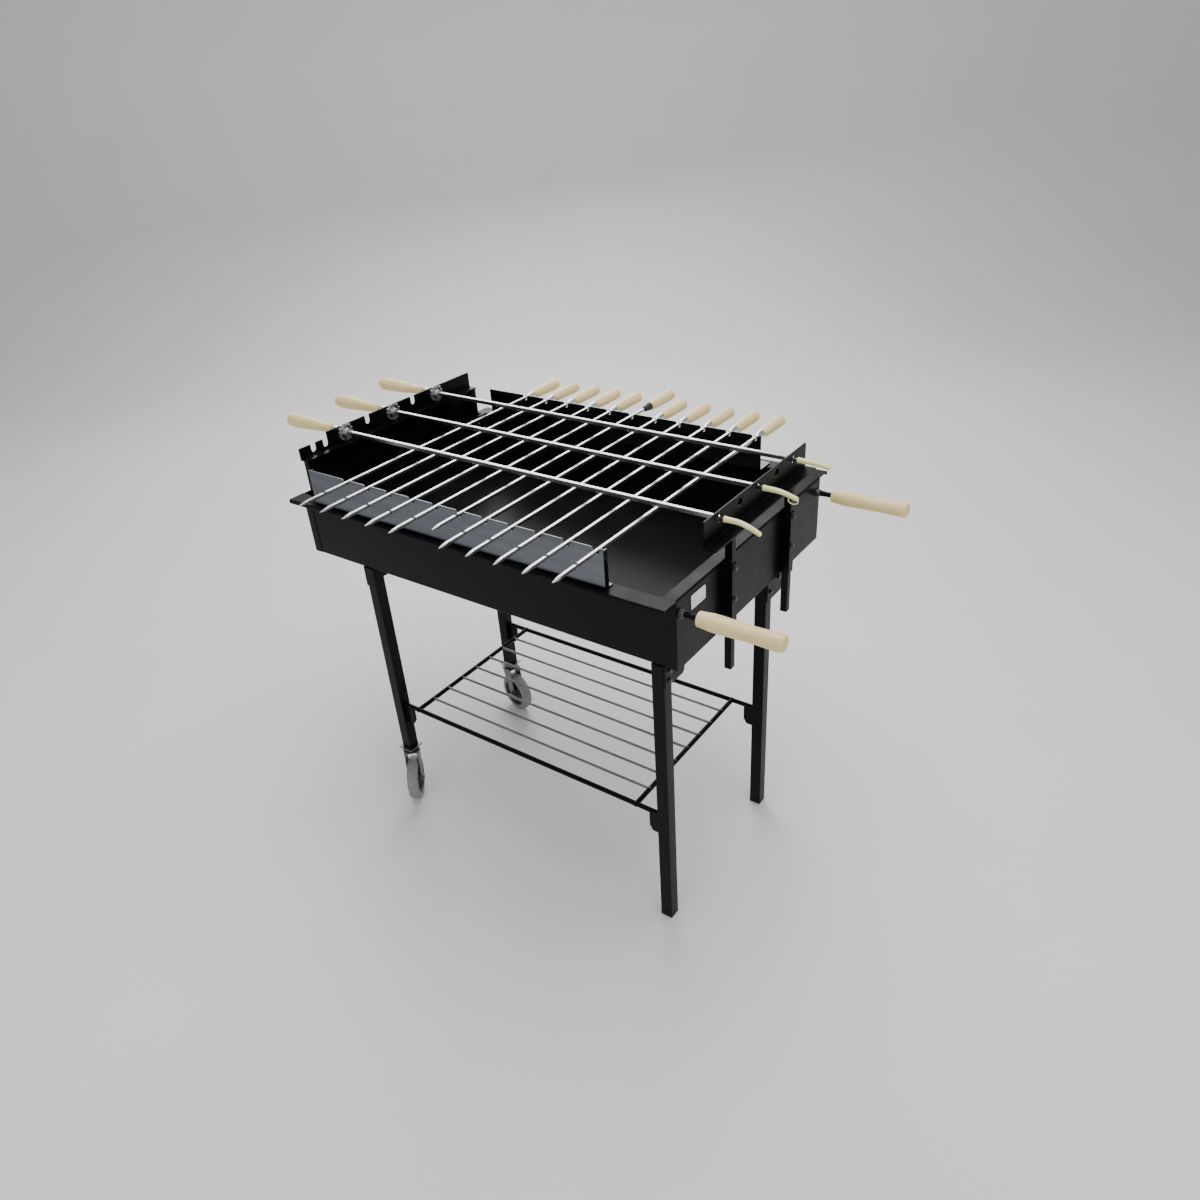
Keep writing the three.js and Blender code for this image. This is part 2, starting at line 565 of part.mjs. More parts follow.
// ---- carry handles at the right end ----
function carryHandle(place, y) {
  const inside = RIGHT - SHEET - GAP;
  const gripStart = RIGHT + CARRY_GRIP.start;
  const gripEnd = gripStart + CARRY_GRIP.length;
  const boreEnd = gripStart + CARRY_GRIP.boreDepth;
  const rodEnd = boreEnd - 2;
  const shank = turned([[inside - CARRY_HEAD.length, 0], [inside - CARRY_HEAD.length, CARRY_HEAD.radius],
    [inside, CARRY_HEAD.radius], [inside, CARRY_ROD_RADIUS], [RIGHT + GAP, CARRY_ROD_RADIUS],
    [RIGHT + GAP, CARRY_HEAD.radius], [RIGHT + GAP + CARRY_HEAD.length, CARRY_HEAD.radius],
    [RIGHT + GAP + CARRY_HEAD.length, CARRY_ROD_RADIUS], [rodEnd, CARRY_ROD_RADIUS], [rodEnd, 0]], "x", 14);
  const bore = CARRY_ROD_RADIUS + GAP;
  const grip = turned([[gripStart, bore], [gripStart, 12], [gripStart + 4, 13.5], [gripStart + 7, 12.4],
    [gripStart + 10, 14], [gripStart + 14, 13], [gripStart + 26, 15.6], [gripStart + 48, 15.2],
    [gripStart + 84, 13.2], [gripEnd - 30, 14.4], [gripEnd - 12, 15], [gripEnd - 3, 12],
    [gripEnd, 8], [gripEnd, 0], [boreEnd, 0], [boreEnd, bore], [gripStart, bore]], "x", 18);
  const handle = new THREE.Group();
  handle.add(piece(`carry_rod_${place}`, shank, PAINT), piece(`carry_grip_${place}`, grip, WOOD));
  handle.position.set(0, y, BOX_BOTTOM + CARRY_HEIGHT);
  return handle;
}

function labelPlate() {
  const y = FRONT + LABEL.place;
  const z = BOX_BOTTOM + LABEL.centre;
  const x = RIGHT + GAP;
  return piece("label_plate", block(x, x + LABEL.thickness, y - LABEL.width / 2, y + LABEL.width / 2,
    z - LABEL.height / 2, z + LABEL.height / 2), PAPER);
}

// ---- the whole ----
const roaster = new THREE.Group();
roaster.add(firebox(), shelf(), labelPlate());

for (const place of LEGS) {
  roaster.add(leg(place));
}

for (const { side, x, y } of LEGS.filter((place) => place.end === "left")) {
  const castor = new THREE.Group();
  const swivel = new THREE.Group();
  swivel.add(castorFork(`castor_fork_${side}`), castorWheel(`castor_wheel_${side}`));
  swivel.rotation.z = CASTOR_TURN[side];
  castor.add(castorMount(`castor_mount_${side}`), swivel);
  castor.position.set(x, y, 0);
  roaster.add(castor);
}

roaster.add(leftSpitRest(), rightSpitRest());
for (const [i, side] of ["front", "rear"].entries()) {
  roaster.add(post(`left_post_${side}`, LEFT_POSTS[i], LEFT_POST_FOOT, LEFT_REST.bottom));
  roaster.add(post(`right_post_${side}`, RIGHT_POSTS[i], RIGHT_POST_FOOT, RIGHT_REST.bottom));
}

const DROOP = { front: 15, middle: 10, rear: 5 };
for (const [place, y] of Object.entries(SPIT_Y)) {
  roaster.add(longSpit(place, y, DROOP[place]));
}

roaster.add(rackPlate("rack_front_plate", RACK_FRONT_PLACE, RACK_FRONT_FOOT, true));
roaster.add(rackPlate("rack_rear_plate", RACK_REAR_PLACE, RACK_REAR_FOOT, false));
for (let number = 1; number <= SKEWER_COUNT; number += 1) {
  roaster.add(skewer(number));
}

roaster.add(carryHandle("front", FRONT + CARRY_INSET), carryHandle("rear", REAR - CARRY_INSET));

// The frame's origin: the centre of the footprint, on the floor.
const bounds = new THREE.Box3().setFromObject(roaster, true);
const centre = bounds.getCenter(new THREE.Vector3());
roaster.position.set(-centre.x, -centre.y, -bounds.min.z);

export default roaster;
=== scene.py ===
import json
import math
import random

import bmesh
import bpy
from mathutils import Matrix, Vector


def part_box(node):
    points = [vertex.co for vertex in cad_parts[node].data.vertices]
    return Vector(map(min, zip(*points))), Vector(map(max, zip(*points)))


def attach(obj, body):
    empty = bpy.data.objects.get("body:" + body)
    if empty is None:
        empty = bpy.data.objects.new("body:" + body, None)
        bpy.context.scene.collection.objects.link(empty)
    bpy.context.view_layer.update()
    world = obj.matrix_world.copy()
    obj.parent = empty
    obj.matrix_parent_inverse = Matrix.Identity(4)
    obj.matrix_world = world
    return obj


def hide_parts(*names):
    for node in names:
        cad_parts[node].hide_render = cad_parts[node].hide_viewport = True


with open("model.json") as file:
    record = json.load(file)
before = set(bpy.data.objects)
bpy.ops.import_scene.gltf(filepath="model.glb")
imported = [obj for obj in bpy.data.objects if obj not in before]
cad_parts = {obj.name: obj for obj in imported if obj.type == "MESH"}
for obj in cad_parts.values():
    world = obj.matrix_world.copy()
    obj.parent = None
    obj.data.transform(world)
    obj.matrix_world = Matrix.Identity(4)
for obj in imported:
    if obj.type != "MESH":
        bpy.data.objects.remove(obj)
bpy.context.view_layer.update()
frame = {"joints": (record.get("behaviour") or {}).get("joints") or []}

random.seed(11)

MM = 0.001

# ---- places, from the frame ----
TRAY_LOW, TRAY_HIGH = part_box("firebox")
FLANGE_WIDTH = 36 * MM
FLANGE_HEM = 8 * MM
SHEET = 2 * MM
END_LIP = 26 * MM
LEG_TUBE = 25 * MM
POST_HOLE = 7.3 * MM  # half the width inside a sleeve
POST_SLEEVE = 9 * MM  # half the width of a sleeve
LEFT = TRAY_LOW.x
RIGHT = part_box("right_spit_rest")[0].x
FRONT = TRAY_LOW.y + FLANGE_WIDTH
REAR = TRAY_HIGH.y - FLANGE_WIDTH
RIM = TRAY_HIGH.z
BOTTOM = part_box("leg_front_right")[1].z
SIDES = ("front", "rear")
ENDS = ("left", "right")
SPITS = ("front", "middle", "rear")
SKEWERS = [f"{number:02d}" for number in range(1, 12)]


def centre_of(node):
    low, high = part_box(node)
    return (low + high) / 2


def tube_centre(side, end):
    """The middle of a leg's square tube, without the lug on its inner side."""
    low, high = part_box(f"leg_{side}_{end}")
    x = low.x + LEG_TUBE / 2 if end == "left" else high.x - LEG_TUBE / 2
    return Vector((x, (low.y + high.y) / 2, (low.z + high.z) / 2))


# ---- mesh helpers ----
def standing_across(x):
    """The move that stands an outline in the y-z plane at x."""
    return Matrix(((0, 0, 1, x), (1, 0, 0, 0), (0, 1, 0, 0), (0, 0, 0, 1)))


def standing_along(y):
    """The move that stands an outline in the x-z plane at y."""
    return Matrix(((1, 0, 0, 0), (0, 0, -1, y), (0, 1, 0, 0), (0, 0, 0, 1)))


TO_AXIS = {
    "x": Matrix.Rotation(math.pi / 2, 4, "Y"),
    "y": Matrix.Rotation(-math.pi / 2, 4, "X"),
    "z": Matrix.Identity(4),
}
SHARP = math.radians(40)


def object_from(bm, name, flat=False):
    """Turns a bmesh into an object whose creases over 40 degrees stay sharp."""
    bmesh.ops.recalc_face_normals(bm, faces=bm.faces)
    for face in bm.faces:
        face.smooth = not flat
    for edge in bm.edges:
        if len(edge.link_faces) == 2 and edge.calc_face_angle() > SHARP:
            edge.smooth = False
    mesh = bpy.data.meshes.new(name)
    bm.to_mesh(mesh)
    bm.free()
    made = bpy.data.objects.new(name, mesh)
    bpy.context.scene.collection.objects.link(made)
    weighted = made.modifiers.new("weighted_normals", "WEIGHTED_NORMAL")
    weighted.keep_sharp = True
    return made


def bevel_sharp(bm, width, segments=2):
    edges = [e for e in bm.edges if len(e.link_faces) == 2 and e.calc_face_angle() > SHARP]
    bmesh.ops.bevel(bm, geom=edges, offset=width, segments=segments, affect="EDGES", profile=0.5)


def stations(start, *points):
    """Stations of a turned shape, from (distance past start, radius) in millimetres."""
    return [(start + distance * MM, radius * MM) for distance, radius in points]


def bridge(bm, lower, upper):
    if len(lower) == 1 and len(upper) == 1:
        return
    count = max(len(lower), len(upper))
    for i in range(count):
        j = (i + 1) % count
        corners = [lower[i % len(lower)], lower[j % len(lower)], upper[j % len(upper)], upper[i % len(upper)]]
        bm.faces.new(list(dict.fromkeys(corners)))


def add_turned(bm, stations, axis, origin, segments=32):
    """Adds a turned shape. Each station is (distance along the axis, radius)."""
    rings = []
    for distance, radius in stations:
        if radius < 1e-7:
            rings.append([bm.verts.new((0, 0, distance))])
            continue
        turns = [2 * math.pi * i / segments for i in range(segments)]
        rings.append([bm.verts.new((radius * math.cos(t), radius * math.sin(t), distance)) for t in turns])
    for lower, upper in zip(rings, rings[1:]):
        bridge(bm, lower, upper)
    if stations[0][1] > 0 and stations[0] == stations[-1]:
        bmesh.ops.remove_doubles(bm, verts=rings[0] + rings[-1], dist=1e-7)
    verts = [v for ring in rings for v in ring if v.is_valid]
    move = Matrix.Translation(origin) @ (TO_AXIS[axis] if isinstance(axis, str) else axis)
    bmesh.ops.transform(bm, matrix=move, verts=verts)
    return verts


def add_block(bm, low, high, bevel=0.0, turn=None):
    """Adds a box between two corners, its edges rounded by bevel."""
    low, high = Vector(low), Vector(high)
    size = high - low
    place = Matrix.Translation((low + high) / 2)
    if turn is not None:
        place = place @ turn
    place = place @ Matrix.Diagonal((*size, 1))
    made = bmesh.ops.create_cube(bm, size=1, matrix=place)
    if bevel:
        edges = list({e for v in made["verts"] for e in v.link_edges})
        bmesh.ops.bevel(bm, geom=edges, offset=bevel, segments=2, affect="EDGES", profile=0.5)


def add_bar(bm, stations, axis, origin, corner=0.12):
    """Adds a bar with chamfered corners. Each station is (distance, half width, half height)."""
    rings = []
    for distance, wide, high in stations:
        if wide < 1e-7:
            rings.append([bm.verts.new((0, 0, distance))])
            continue
        cut = corner * min(wide, high) * 2
        outline = [(wide, high - cut), (wide - cut, high), (cut - wide, high), (-wide, high - cut),
                   (-wide, cut - high), (cut - wide, -high), (wide - cut, -high), (wide, cut - high)]
        rings.append([bm.verts.new((x, y, distance)) for x, y in outline])
    for lower, upper in zip(rings, rings[1:]):
        bridge(bm, lower, upper)
    for ring in (rings[0], rings[-1]):
        if len(ring) > 1:
            bm.faces.new(ring)
    move = Matrix.Translation(origin) @ TO_AXIS[axis]
    bmesh.ops.transform(bm, matrix=move, verts=[v for ring in rings for v in ring])


def add_tube(bm, points, radii, segments=12):
    """Adds a round rod along a line of points, closed at both ends."""
    points = [Vector(p) for p in points]
    if not hasattr(radii, "__len__"):
        radii = [radii] * len(points)
    rings = []
    side = None
    for i, point in enumerate(points):
        ahead = (points[min(i + 1, len(points) - 1)] - points[max(i - 1, 0)]).normalized()
        if side is None:
            side = ahead.orthogonal().normalized()
        side = (side - ahead * side.dot(ahead)).normalized()
        other = ahead.cross(side)
        turns = [2 * math.pi * k / segments for k in range(segments)]
        spokes = [side * math.cos(t) + other * math.sin(t) for t in turns]
        rings.append([bm.verts.new(point + radii[i] * spoke) for spoke in spokes])
    for lower, upper in zip(rings, rings[1:]):
        bridge(bm, lower, upper)
    bm.faces.new(rings[0])
    bm.faces.new(rings[-1])


def rounded_path(corners, radius, steps=4):
    """The points and left normals of a line whose inner corners are rounded."""
    corners = [Vector(c) for c in corners]
    line = [corners[0]]
    for before, corner, after in zip(corners, corners[1:], corners[2:]):
        into, out = (corner - before).normalized(), (after - corner).normalized()
        half = into.angle(out) / 2
        reach = radius * math.tan(half)
        for step in range(steps + 1):
            share = step / steps
            start, end = corner - into * reach, corner + out * reach
            line.append(start.lerp(corner, share).lerp(corner.lerp(end, share), share))
    line.append(corners[-1])
    normals = []
    for i in range(len(line)):
        ahead = (line[min(i + 1, len(line) - 1)] - line[max(i - 1, 0)]).normalized()
        normals.append(Vector((-ahead.y, ahead.x)))
    return line, normals


def bent_sheet(corners, thickness, radius):
    """The closed outline of a folded sheet, seen from its end."""
    line, normals = rounded_path(corners, radius)
    left = [p + n * thickness / 2 for p, n in zip(line, normals)]
    right = [p - n * thickness / 2 for p, n in zip(line, normals)]
    return left + right[::-1]


def add_extruded(bm, outline, axis, start, end):
    """Adds an outline drawn across an axis, drawn out from start to end along it."""
    def at(point, distance):
        u, v = point
        return {"x": (distance, u, v), "y": (u, distance, v), "z": (u, v, distance)}[axis]

    near = [bm.verts.new(at(p, start)) for p in outline]
    far = [bm.verts.new(at(p, end)) for p in outline]
    bridge(bm, near, far)
    bm.faces.new(near)
    bm.faces.new(far[::-1])


def add_cut_plate(bm, outlines, thickness, place, bevel=0.3 * MM):
    """Adds a flat plate with notches and holes, its edges eased. Outlines after the first are holes."""
    curve = bpy.data.curves.new("outline", "CURVE")
    curve.dimensions = "2D"
    curve.fill_mode = "BOTH"
    curve.extrude = thickness / 2 - bevel
    curve.bevel_depth = bevel
    curve.bevel_resolution = 1
    curve.offset = -bevel
    for outline in outlines:
        spline = curve.splines.new("POLY")
        spline.points.add(len(outline) - 1)
        for point, (x, y) in zip(spline.points, outline):
            point.co = (x, y, 0, 1)
        spline.use_cyclic_u = True
    holder = bpy.data.objects.new("outline", curve)
    bpy.context.scene.collection.objects.link(holder)
    bpy.context.view_layer.update()
    shape = holder.evaluated_get(bpy.context.evaluated_depsgraph_get())
    mesh = bpy.data.meshes.new_from_object(shape)
    mesh.transform(place)
    bm.from_mesh(mesh)
    bmesh.ops.remove_doubles(bm, verts=bm.verts, dist=1e-6)
    bpy.data.objects.remove(holder)
    bpy.data.curves.remove(curve)
    bpy.data.meshes.remove(mesh)


def facing(direction):
    """The turn that takes +Z to a direction."""
    return Vector((0, 0, 1)).rotation_difference(Vector(direction)).to_matrix().to_4x4()


def add_bolt(bm, origin, direction, size=6 * MM, washer=True):
    """Adds a hexagon head, with its washer, standing on origin."""
    head = size * 0.87
    height = size * 0.62
    lift = size * 0.2 if washer else 0
    turn = facing(direction)
    if washer:
        add_turned(bm, [(0, 0), (0, size), (lift, size * 0.98), (lift, 0)], turn, origin, 24)
    top = lift + height
    profile = [(lift, 0), (lift, head), (lift + height * 0.8, head), (top, head * 0.85), (top, 0)]
    add_turned(bm, profile, turn, origin, 6)


def add_weld(bm, start, end, radius=1.3 * MM, step=2.2 * MM):
    """Adds a weld bead: a rippled rod from start to end."""
    start, end = Vector(start), Vector(end)
    count = max(4, int((end - start).length / step * 2))
    points = []
    radii = []
    for i in range(count + 1):
        share = i / count
        sway = Vector((random.uniform(-1, 1), random.uniform(-1, 1), random.uniform(-1, 1))) * radius * 0.12
        points.append(start.lerp(end, share) + sway)
        radii.append(radius * (1.0 if i % 2 else 0.78) * random.uniform(0.92, 1.06))
    radii[0] = radii[-1] = radius * 0.4
    add_tube(bm, points, radii, 8)


# ---- materials ----
def new_material(name):
    material = bpy.data.materials.new(name)
    material.use_nodes = True
    nodes = material.node_tree.nodes
    shader = nodes["Principled BSDF"]
    return material, nodes, material.node_tree.links, shader


def coordinates(nodes, links, scale):
    where = nodes.new("ShaderNodeTexCoord")
    mapping = nodes.new("ShaderNodeMapping")
    mapping.inputs["Scale"].default_value = scale
    links.new(where.outputs["Object"], mapping.inputs["Vector"])
    return mapping.outputs["Vector"]


def noise(nodes, links, vector, scale, detail=4.0, roughness=0.55, distortion=0.0):
    texture = nodes.new("ShaderNodeTexNoise")
    texture.inputs["Scale"].default_value = scale
    texture.inputs["Detail"].default_value = detail
    texture.inputs["Roughness"].default_value = roughness
    texture.inputs["Distortion"].default_value = distortion
    links.new(vector, texture.inputs["Vector"])
    return texture.outputs["Fac"]


def ramp(nodes, links, value, stops):
    """A colour ramp. Each stop is (position, colour)."""
    made = nodes.new("ShaderNodeValToRGB")
    elements = made.color_ramp.elements
    while len(elements) < len(stops):
        elements.new(0.5)
    for element, (position, colour) in zip(elements, stops):
        element.position = position
        element.color = (*colour, 1)
    links.new(value, made.inputs["Fac"])
    return made.outputs["Color"]


def grey(level):
    return (level, level, level)


def bump(nodes, links, shader, height, strength, distance):
    made = nodes.new("ShaderNodeBump")
    made.inputs["Strength"].default_value = strength
    made.inputs["Distance"].default_value = distance
    links.new(height, made.inputs["Height"])
    links.new(made.outputs["Normal"], shader.inputs["Normal"])


def paint_material(name, dark, light, smooth, rough):
    """Black stove paint: a faint orange peel, with cloudy changes of shade and gloss."""
    material, nodes, links, shader = new_material(name)
    vector = coordinates(nodes, links, (1, 1, 1))
    clouds = noise(nodes, links, vector, 9, 6, 0.6)
    links.new(ramp(nodes, links, clouds, [(0.3, dark), (0.72, light)]), shader.inputs["Base Color"])
    streaks = noise(nodes, links, vector, 30, 8, 0.7)
    gloss = ramp(nodes, links, streaks, [(0.25, grey(smooth)), (0.8, grey(rough))])
    links.new(gloss, shader.inputs["Roughness"])
    shader.inputs["Specular IOR Level"].default_value = 0.1
    peel = noise(nodes, links, vector, 700, 2, 0.5)
    bump(nodes, links, shader, peel, 0.25, 0.0003)
    return material


def ash_material():
    """The inside of the firebox: matt paint greyed by heat and a little ash."""
    material, nodes, links, shader = new_material("heated_paint")
    vector = coordinates(nodes, links, (1, 1, 1))
    patches = noise(nodes, links, vector, 7, 8, 0.62, 0.4)
    stops = [(0.3, (0.003, 0.0032, 0.0036)), (0.55, (0.006, 0.0064, 0.007)), (0.8, (0.014, 0.014, 0.015))]
    links.new(ramp(nodes, links, patches, stops), shader.inputs["Base Color"])
    shader.inputs["Roughness"].default_value = 0.42
    shader.inputs["Specular IOR Level"].default_value = 0.16
    grain = noise(nodes, links, vector, 420, 4, 0.6)
    bump(nodes, links, shader, grain, 0.3, 0.0004)
    return material


def metal_material(name, colour, shade, smooth, rough, stretch):
    """Bare metal brushed along one axis: stretch is the texture's scale along x, y and z."""
    material, nodes, links, shader = new_material(name)
    vector = coordinates(nodes, links, stretch)
    brushing = noise(nodes, links, vector, 60, 6, 0.6)
    links.new(ramp(nodes, links, brushing, [(0.25, shade), (0.7, colour)]), shader.inputs["Base Color"])
    gloss = ramp(nodes, links, brushing, [(0.3, grey(smooth)), (0.75, grey(rough))])
    links.new(gloss, shader.inputs["Roughness"])
    shader.inputs["Metallic"].default_value = 1.0
    bump(nodes, links, shader, brushing, 0.12, 0.0002)
    return material


def wood_material(name, stretch):
    """Pale turned pine: long grain lines, growth bands and fine pores."""
    material, nodes, links, shader = new_material(name)
    vector = coordinates(nodes, links, stretch)
    bands = noise(nodes, links, vector, 55, 3, 0.5, 0.6)
    pale, middle, amber = (0.93, 0.76, 0.40), (0.87, 0.67, 0.31), (0.70, 0.48, 0.18)
    tone = ramp(nodes, links, bands, [(0.32, pale), (0.55, middle), (0.68, pale), (0.82, amber)])
    pores = noise(nodes, links, vector, 420, 5, 0.7)
    lines = ramp(nodes, links, pores, [(0.35, grey(0.72)), (0.6, grey(1.0))])
    mix = nodes.new("ShaderNodeMix")
    mix.data_type = "RGBA"
    mix.blend_type = "MULTIPLY"
    mix.inputs["Factor"].default_value = 0.55
    links.new(tone, mix.inputs["A"])
    links.new(lines, mix.inputs["B"])
    links.new(mix.outputs["Result"], shader.inputs["Base Color"])
    shader.inputs["Roughness"].default_value = 0.48
    shader.inputs["Coat Weight"].default_value = 0.15
    shader.inputs["Coat Roughness"].default_value = 0.3
    bump(nodes, links, shader, pores, 0.2, 0.0003)
    return material


def plastic_material(name, dark, light, rough, scale=120, coat=0.0):
    """Rubber, vinyl and plastic: a soft mottled shade and a fine grain."""
    material, nodes, links, shader = new_material(name)
    vector = coordinates(nodes, links, (1, 1, 1))
    mottle = noise(nodes, links, vector, scale, 5, 0.6)
    links.new(ramp(nodes, links, mottle, [(0.3, dark), (0.7, light)]), shader.inputs["Base Color"])
    shader.inputs["Roughness"].default_value = rough
    shader.inputs["Coat Weight"].default_value = coat
    bump(nodes, links, shader, noise(nodes, links, vector, 900, 2), 0.15, 0.0002)
    return material


PAINT = paint_material("black_paint", (0.0018, 0.0019, 0.0023), (0.004, 0.0042, 0.005), 0.28, 0.42)
HEATED = ash_material()
WIRE = metal_material("plain_wire", (0.3, 0.3, 0.295), (0.17, 0.17, 0.165), 0.4, 0.58, (0.2, 1, 1))
BLUED = metal_material("blued_steel", (0.17, 0.18, 0.197), (0.11, 0.12, 0.135), 0.22, 0.34, (0.1, 1, 1))
STEEL_X = metal_material("stainless_along_x", (0.56, 0.56, 0.55), (0.38, 0.38, 0.375), 0.2, 0.36,
                         (0.04, 1, 1))
STEEL_Y = metal_material("stainless_along_y", (0.58, 0.58, 0.57), (0.4, 0.4, 0.395), 0.2, 0.36, (1, 0.04, 1))
BRIGHT = metal_material("bright_screws", (0.8, 0.8, 0.8), (0.62, 0.62, 0.63), 0.2, 0.36, (1, 1, 1))
DULL = metal_material("dull_screws", (0.14, 0.14, 0.145), (0.07, 0.07, 0.075), 0.4, 0.55, (1, 1, 1))
ZINC = metal_material("zinc_plate", (0.2, 0.21, 0.22), (0.1, 0.107, 0.115), 0.34, 0.5, (1, 1, 1))
CAST = metal_material("pale_zinc", (0.72, 0.73, 0.74), (0.5, 0.51, 0.53), 0.34, 0.5, (1, 1, 1))
WOOD_X = wood_material("pine_along_x", (0.12, 1, 1))
WOOD_Y = wood_material("pine_along_y", (1, 0.12, 1))
TREAD = plastic_material("grey_tread", (0.19, 0.19, 0.185), (0.27, 0.27, 0.262), 0.62)
HUB = plastic_material("grey_hub", (0.022, 0.025, 0.03), (0.036, 0.04, 0.046), 0.5)
VINYL = plastic_material("yellow_vinyl", (0.78, 0.76, 0.30), (0.88, 0.87, 0.46), 0.32, 60, 0.3)
LABEL = plastic_material("white_label", (0.80, 0.80, 0.79), (0.87, 0.87, 0.86), 0.4, 40)
CAPS = plastic_material("black_caps", (0.006, 0.006, 0.007), (0.013, 0.013, 0.014), 0.6)


def dress(piece, body, slot, materials, *nodes):
    """Puts a piece on its body, with its materials, in place of the CAD nodes named."""
    for material in materials if isinstance(materials, (list, tuple)) else [materials]:
        piece.data.materials.append(material)
    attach(piece, body)
    if nodes:
        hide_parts(*nodes)
    return piece


# ---- firebox ----
def rectangle(u0, u1, v0, v1):
    return [(u0, v0), (u1, v0), (u1, v1), (u0, v1)]


def square_ring(centre, outer, inner, z0, z1):
    """The four corner rings of a square tube standing between two heights."""
    corners = ((1, 1), (-1, 1), (-1, -1), (1, -1))

    def ring(half, z):
        return [(centre[0] + sx * half, centre[1] + sy * half, z) for sx, sy in corners]

    return [ring(outer, z0), ring(outer, z1), ring(inner, z1), ring(inner, z0)]


def add_square_tube(bm, centre, outer, inner, z0, z1, bevel):
    fresh = bmesh.new()
    rings = [[fresh.verts.new(p) for p in ring] for ring in square_ring(centre, outer, inner, z0, z1)]
    for lower, upper in zip(rings, rings[1:] + rings[:1]):
        bridge(fresh, lower, upper)
    bmesh.ops.recalc_face_normals(fresh, faces=fresh.faces)
    bevel_sharp(fresh, bevel)
    made = bpy.data.meshes.new("tube")
    fresh.to_mesh(made)
    fresh.free()
    bm.from_mesh(made)
    bpy.data.meshes.remove(made)


def firebox_body():
    bm = bmesh.new()
    half = SHEET / 2
    edge = FLANGE_WIDTH - half
    section = [(FRONT - edge, RIM - FLANGE_HEM), (FRONT - edge, RIM - half), (FRONT + half, RIM - half),
               (FRONT + half, BOTTOM + half), (REAR - half, BOTTOM + half), (REAR - half, RIM - half),
               (REAR + edge, RIM - half), (REAR + edge, RIM - FLANGE_HEM)]
    inset = 0.5 * MM
    add_extruded(bm, bent_sheet(section, SHEET, 2.2 * MM), "x", LEFT + inset, RIGHT - inset)
    for side, wall in ((1, RIGHT), (-1, LEFT)):
        fold = wall - side * 3.4 * MM
        profile = [(fold, RIM - half), (wall - side * half, RIM - half),
                   (wall - side * half, BOTTOM + half), (wall - side * 14 * MM, BOTTOM + half + 0.4 * MM)]
        outline = bent_sheet(profile, SHEET - 0.2 * MM, 2.2 * MM)
        add_extruded(bm, outline, "y", FRONT + 0.3 * MM, REAR - 0.3 * MM)
        lip = rectangle(min(fold, wall - side * END_LIP), max(fold, wall - side * END_LIP),
                        FRONT + 0.3 * MM, REAR - 0.3 * MM)
        holes = []
        if wall == LEFT:
            posts = [centre_of(f"left_post_{place}") for place in SIDES]
            holes = [rectangle(post.x - POST_HOLE, post.x + POST_HOLE, post.y - POST_HOLE, post.y + POST_HOLE)
                     for post in posts]
        add_cut_plate(bm, [lip, *holes], SHEET - 0.2 * MM, Matrix.Translation((0, 0, RIM - half)), 0.15 * MM)
    for x0, x1 in ((RIGHT - 20 * MM, RIGHT - 0.2 * MM), (LEFT + 0.2 * MM, LEFT + 20 * MM)):
        for y0, y1 in ((FRONT - 1 * MM, FRONT + 1 * MM), (REAR - 1 * MM, REAR + 1 * MM)):
            add_block(bm, (x0, y0, BOTTOM + 1 * MM), (x1, y1, RIM - 3 * MM), 0.4 * MM)
    inner_low = Vector((LEFT, FRONT, BOTTOM))
    inner_high = Vector((RIGHT, REAR, RIM))
    bmesh.ops.recalc_face_normals(bm, faces=bm.faces)
    middle = (inner_low + inner_high) / 2
    for face in bm.faces:
        at = face.calc_center_median()
        within = (LEFT < at.x < RIGHT) and (FRONT < at.y < REAR) and BOTTOM < at.z < RIM - 3 * MM
        towards = Vector((middle.x - at.x, middle.y - at.y, 0))
        if within and (face.normal.z > 0.9 or face.normal.dot(towards) > 0.05):
            face.material_index = 1
    dress(object_from(bm, "firebox_sheet"), "cart", "black_paint", [PAINT, HEATED], "firebox")


def firebox_sleeves():
    bm = bmesh.new()
    for end, inset in (("right", 4 * MM), ("left", SHEET)):
        for side in SIDES:
            place = centre_of(f"{end}_post_{side}")
            z0, z1 = BOTTOM + inset, RIM - inset
            add_square_tube(bm, place, POST_SLEEVE, POST_HOLE, z0, z1, 0.6 * MM)
            wall = RIGHT if end == "right" else LEFT + SHEET
            for along in (-POST_SLEEVE, POST_SLEEVE):
                for start in (z0 + 8 * MM, z1 - 26 * MM):
                    add_weld(bm, (wall + 0.6 * MM, place.y + along, start),
                             (wall + 0.6 * MM, place.y + along, start + 18 * MM))
    dress(object_from(bm, "firebox_sleeves"), "cart", "black_paint", PAINT)


def firebox_brackets():
    """Plates under the tray on the outer side of each leg, bolted through the leg."""
    plates = bmesh.new()
    bolts = bmesh.new()
    for end in ENDS:
        outward = 1 if end == "right" else -1
        for side, drop in (("front", 44 * MM), ("rear", 72 * MM)):
            low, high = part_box(f"leg_{side}_{end}")
            face = high.x if outward > 0 else low.x
            near = low.y
            far = near + 62 * MM
            corner = 5 * MM
            outline = [(near, BOTTOM + 0.3 * MM), (near, BOTTOM - drop), (far - corner, BOTTOM - drop),
                       (far, BOTTOM - drop + corner), (far, BOTTOM + 0.3 * MM)]
            add_cut_plate(plates, [outline], 3 * MM, standing_across(face + outward * 1.8 * MM), 0.4 * MM)
            weld = face + outward * 3.4 * MM
            add_weld(plates, (weld, near + 4 * MM, BOTTOM), (weld, far - 4 * MM, BOTTOM), 1.6 * MM)
            middle = (low.y + high.y) / 2
            for across, down in ((0, 0.28), (0, 0.74), (34 * MM, 0.5)):
                place = (face + outward * 3.3 * MM, middle + across, BOTTOM - down * drop)
                add_bolt(bolts, place, (outward, 0, 0), 5.2 * MM)
    dress(object_from(plates, "firebox_brackets"), "cart", "black_paint", PAINT)
    dress(object_from(bolts, "bracket_bolts"), "cart", "zinc_plate", DULL)


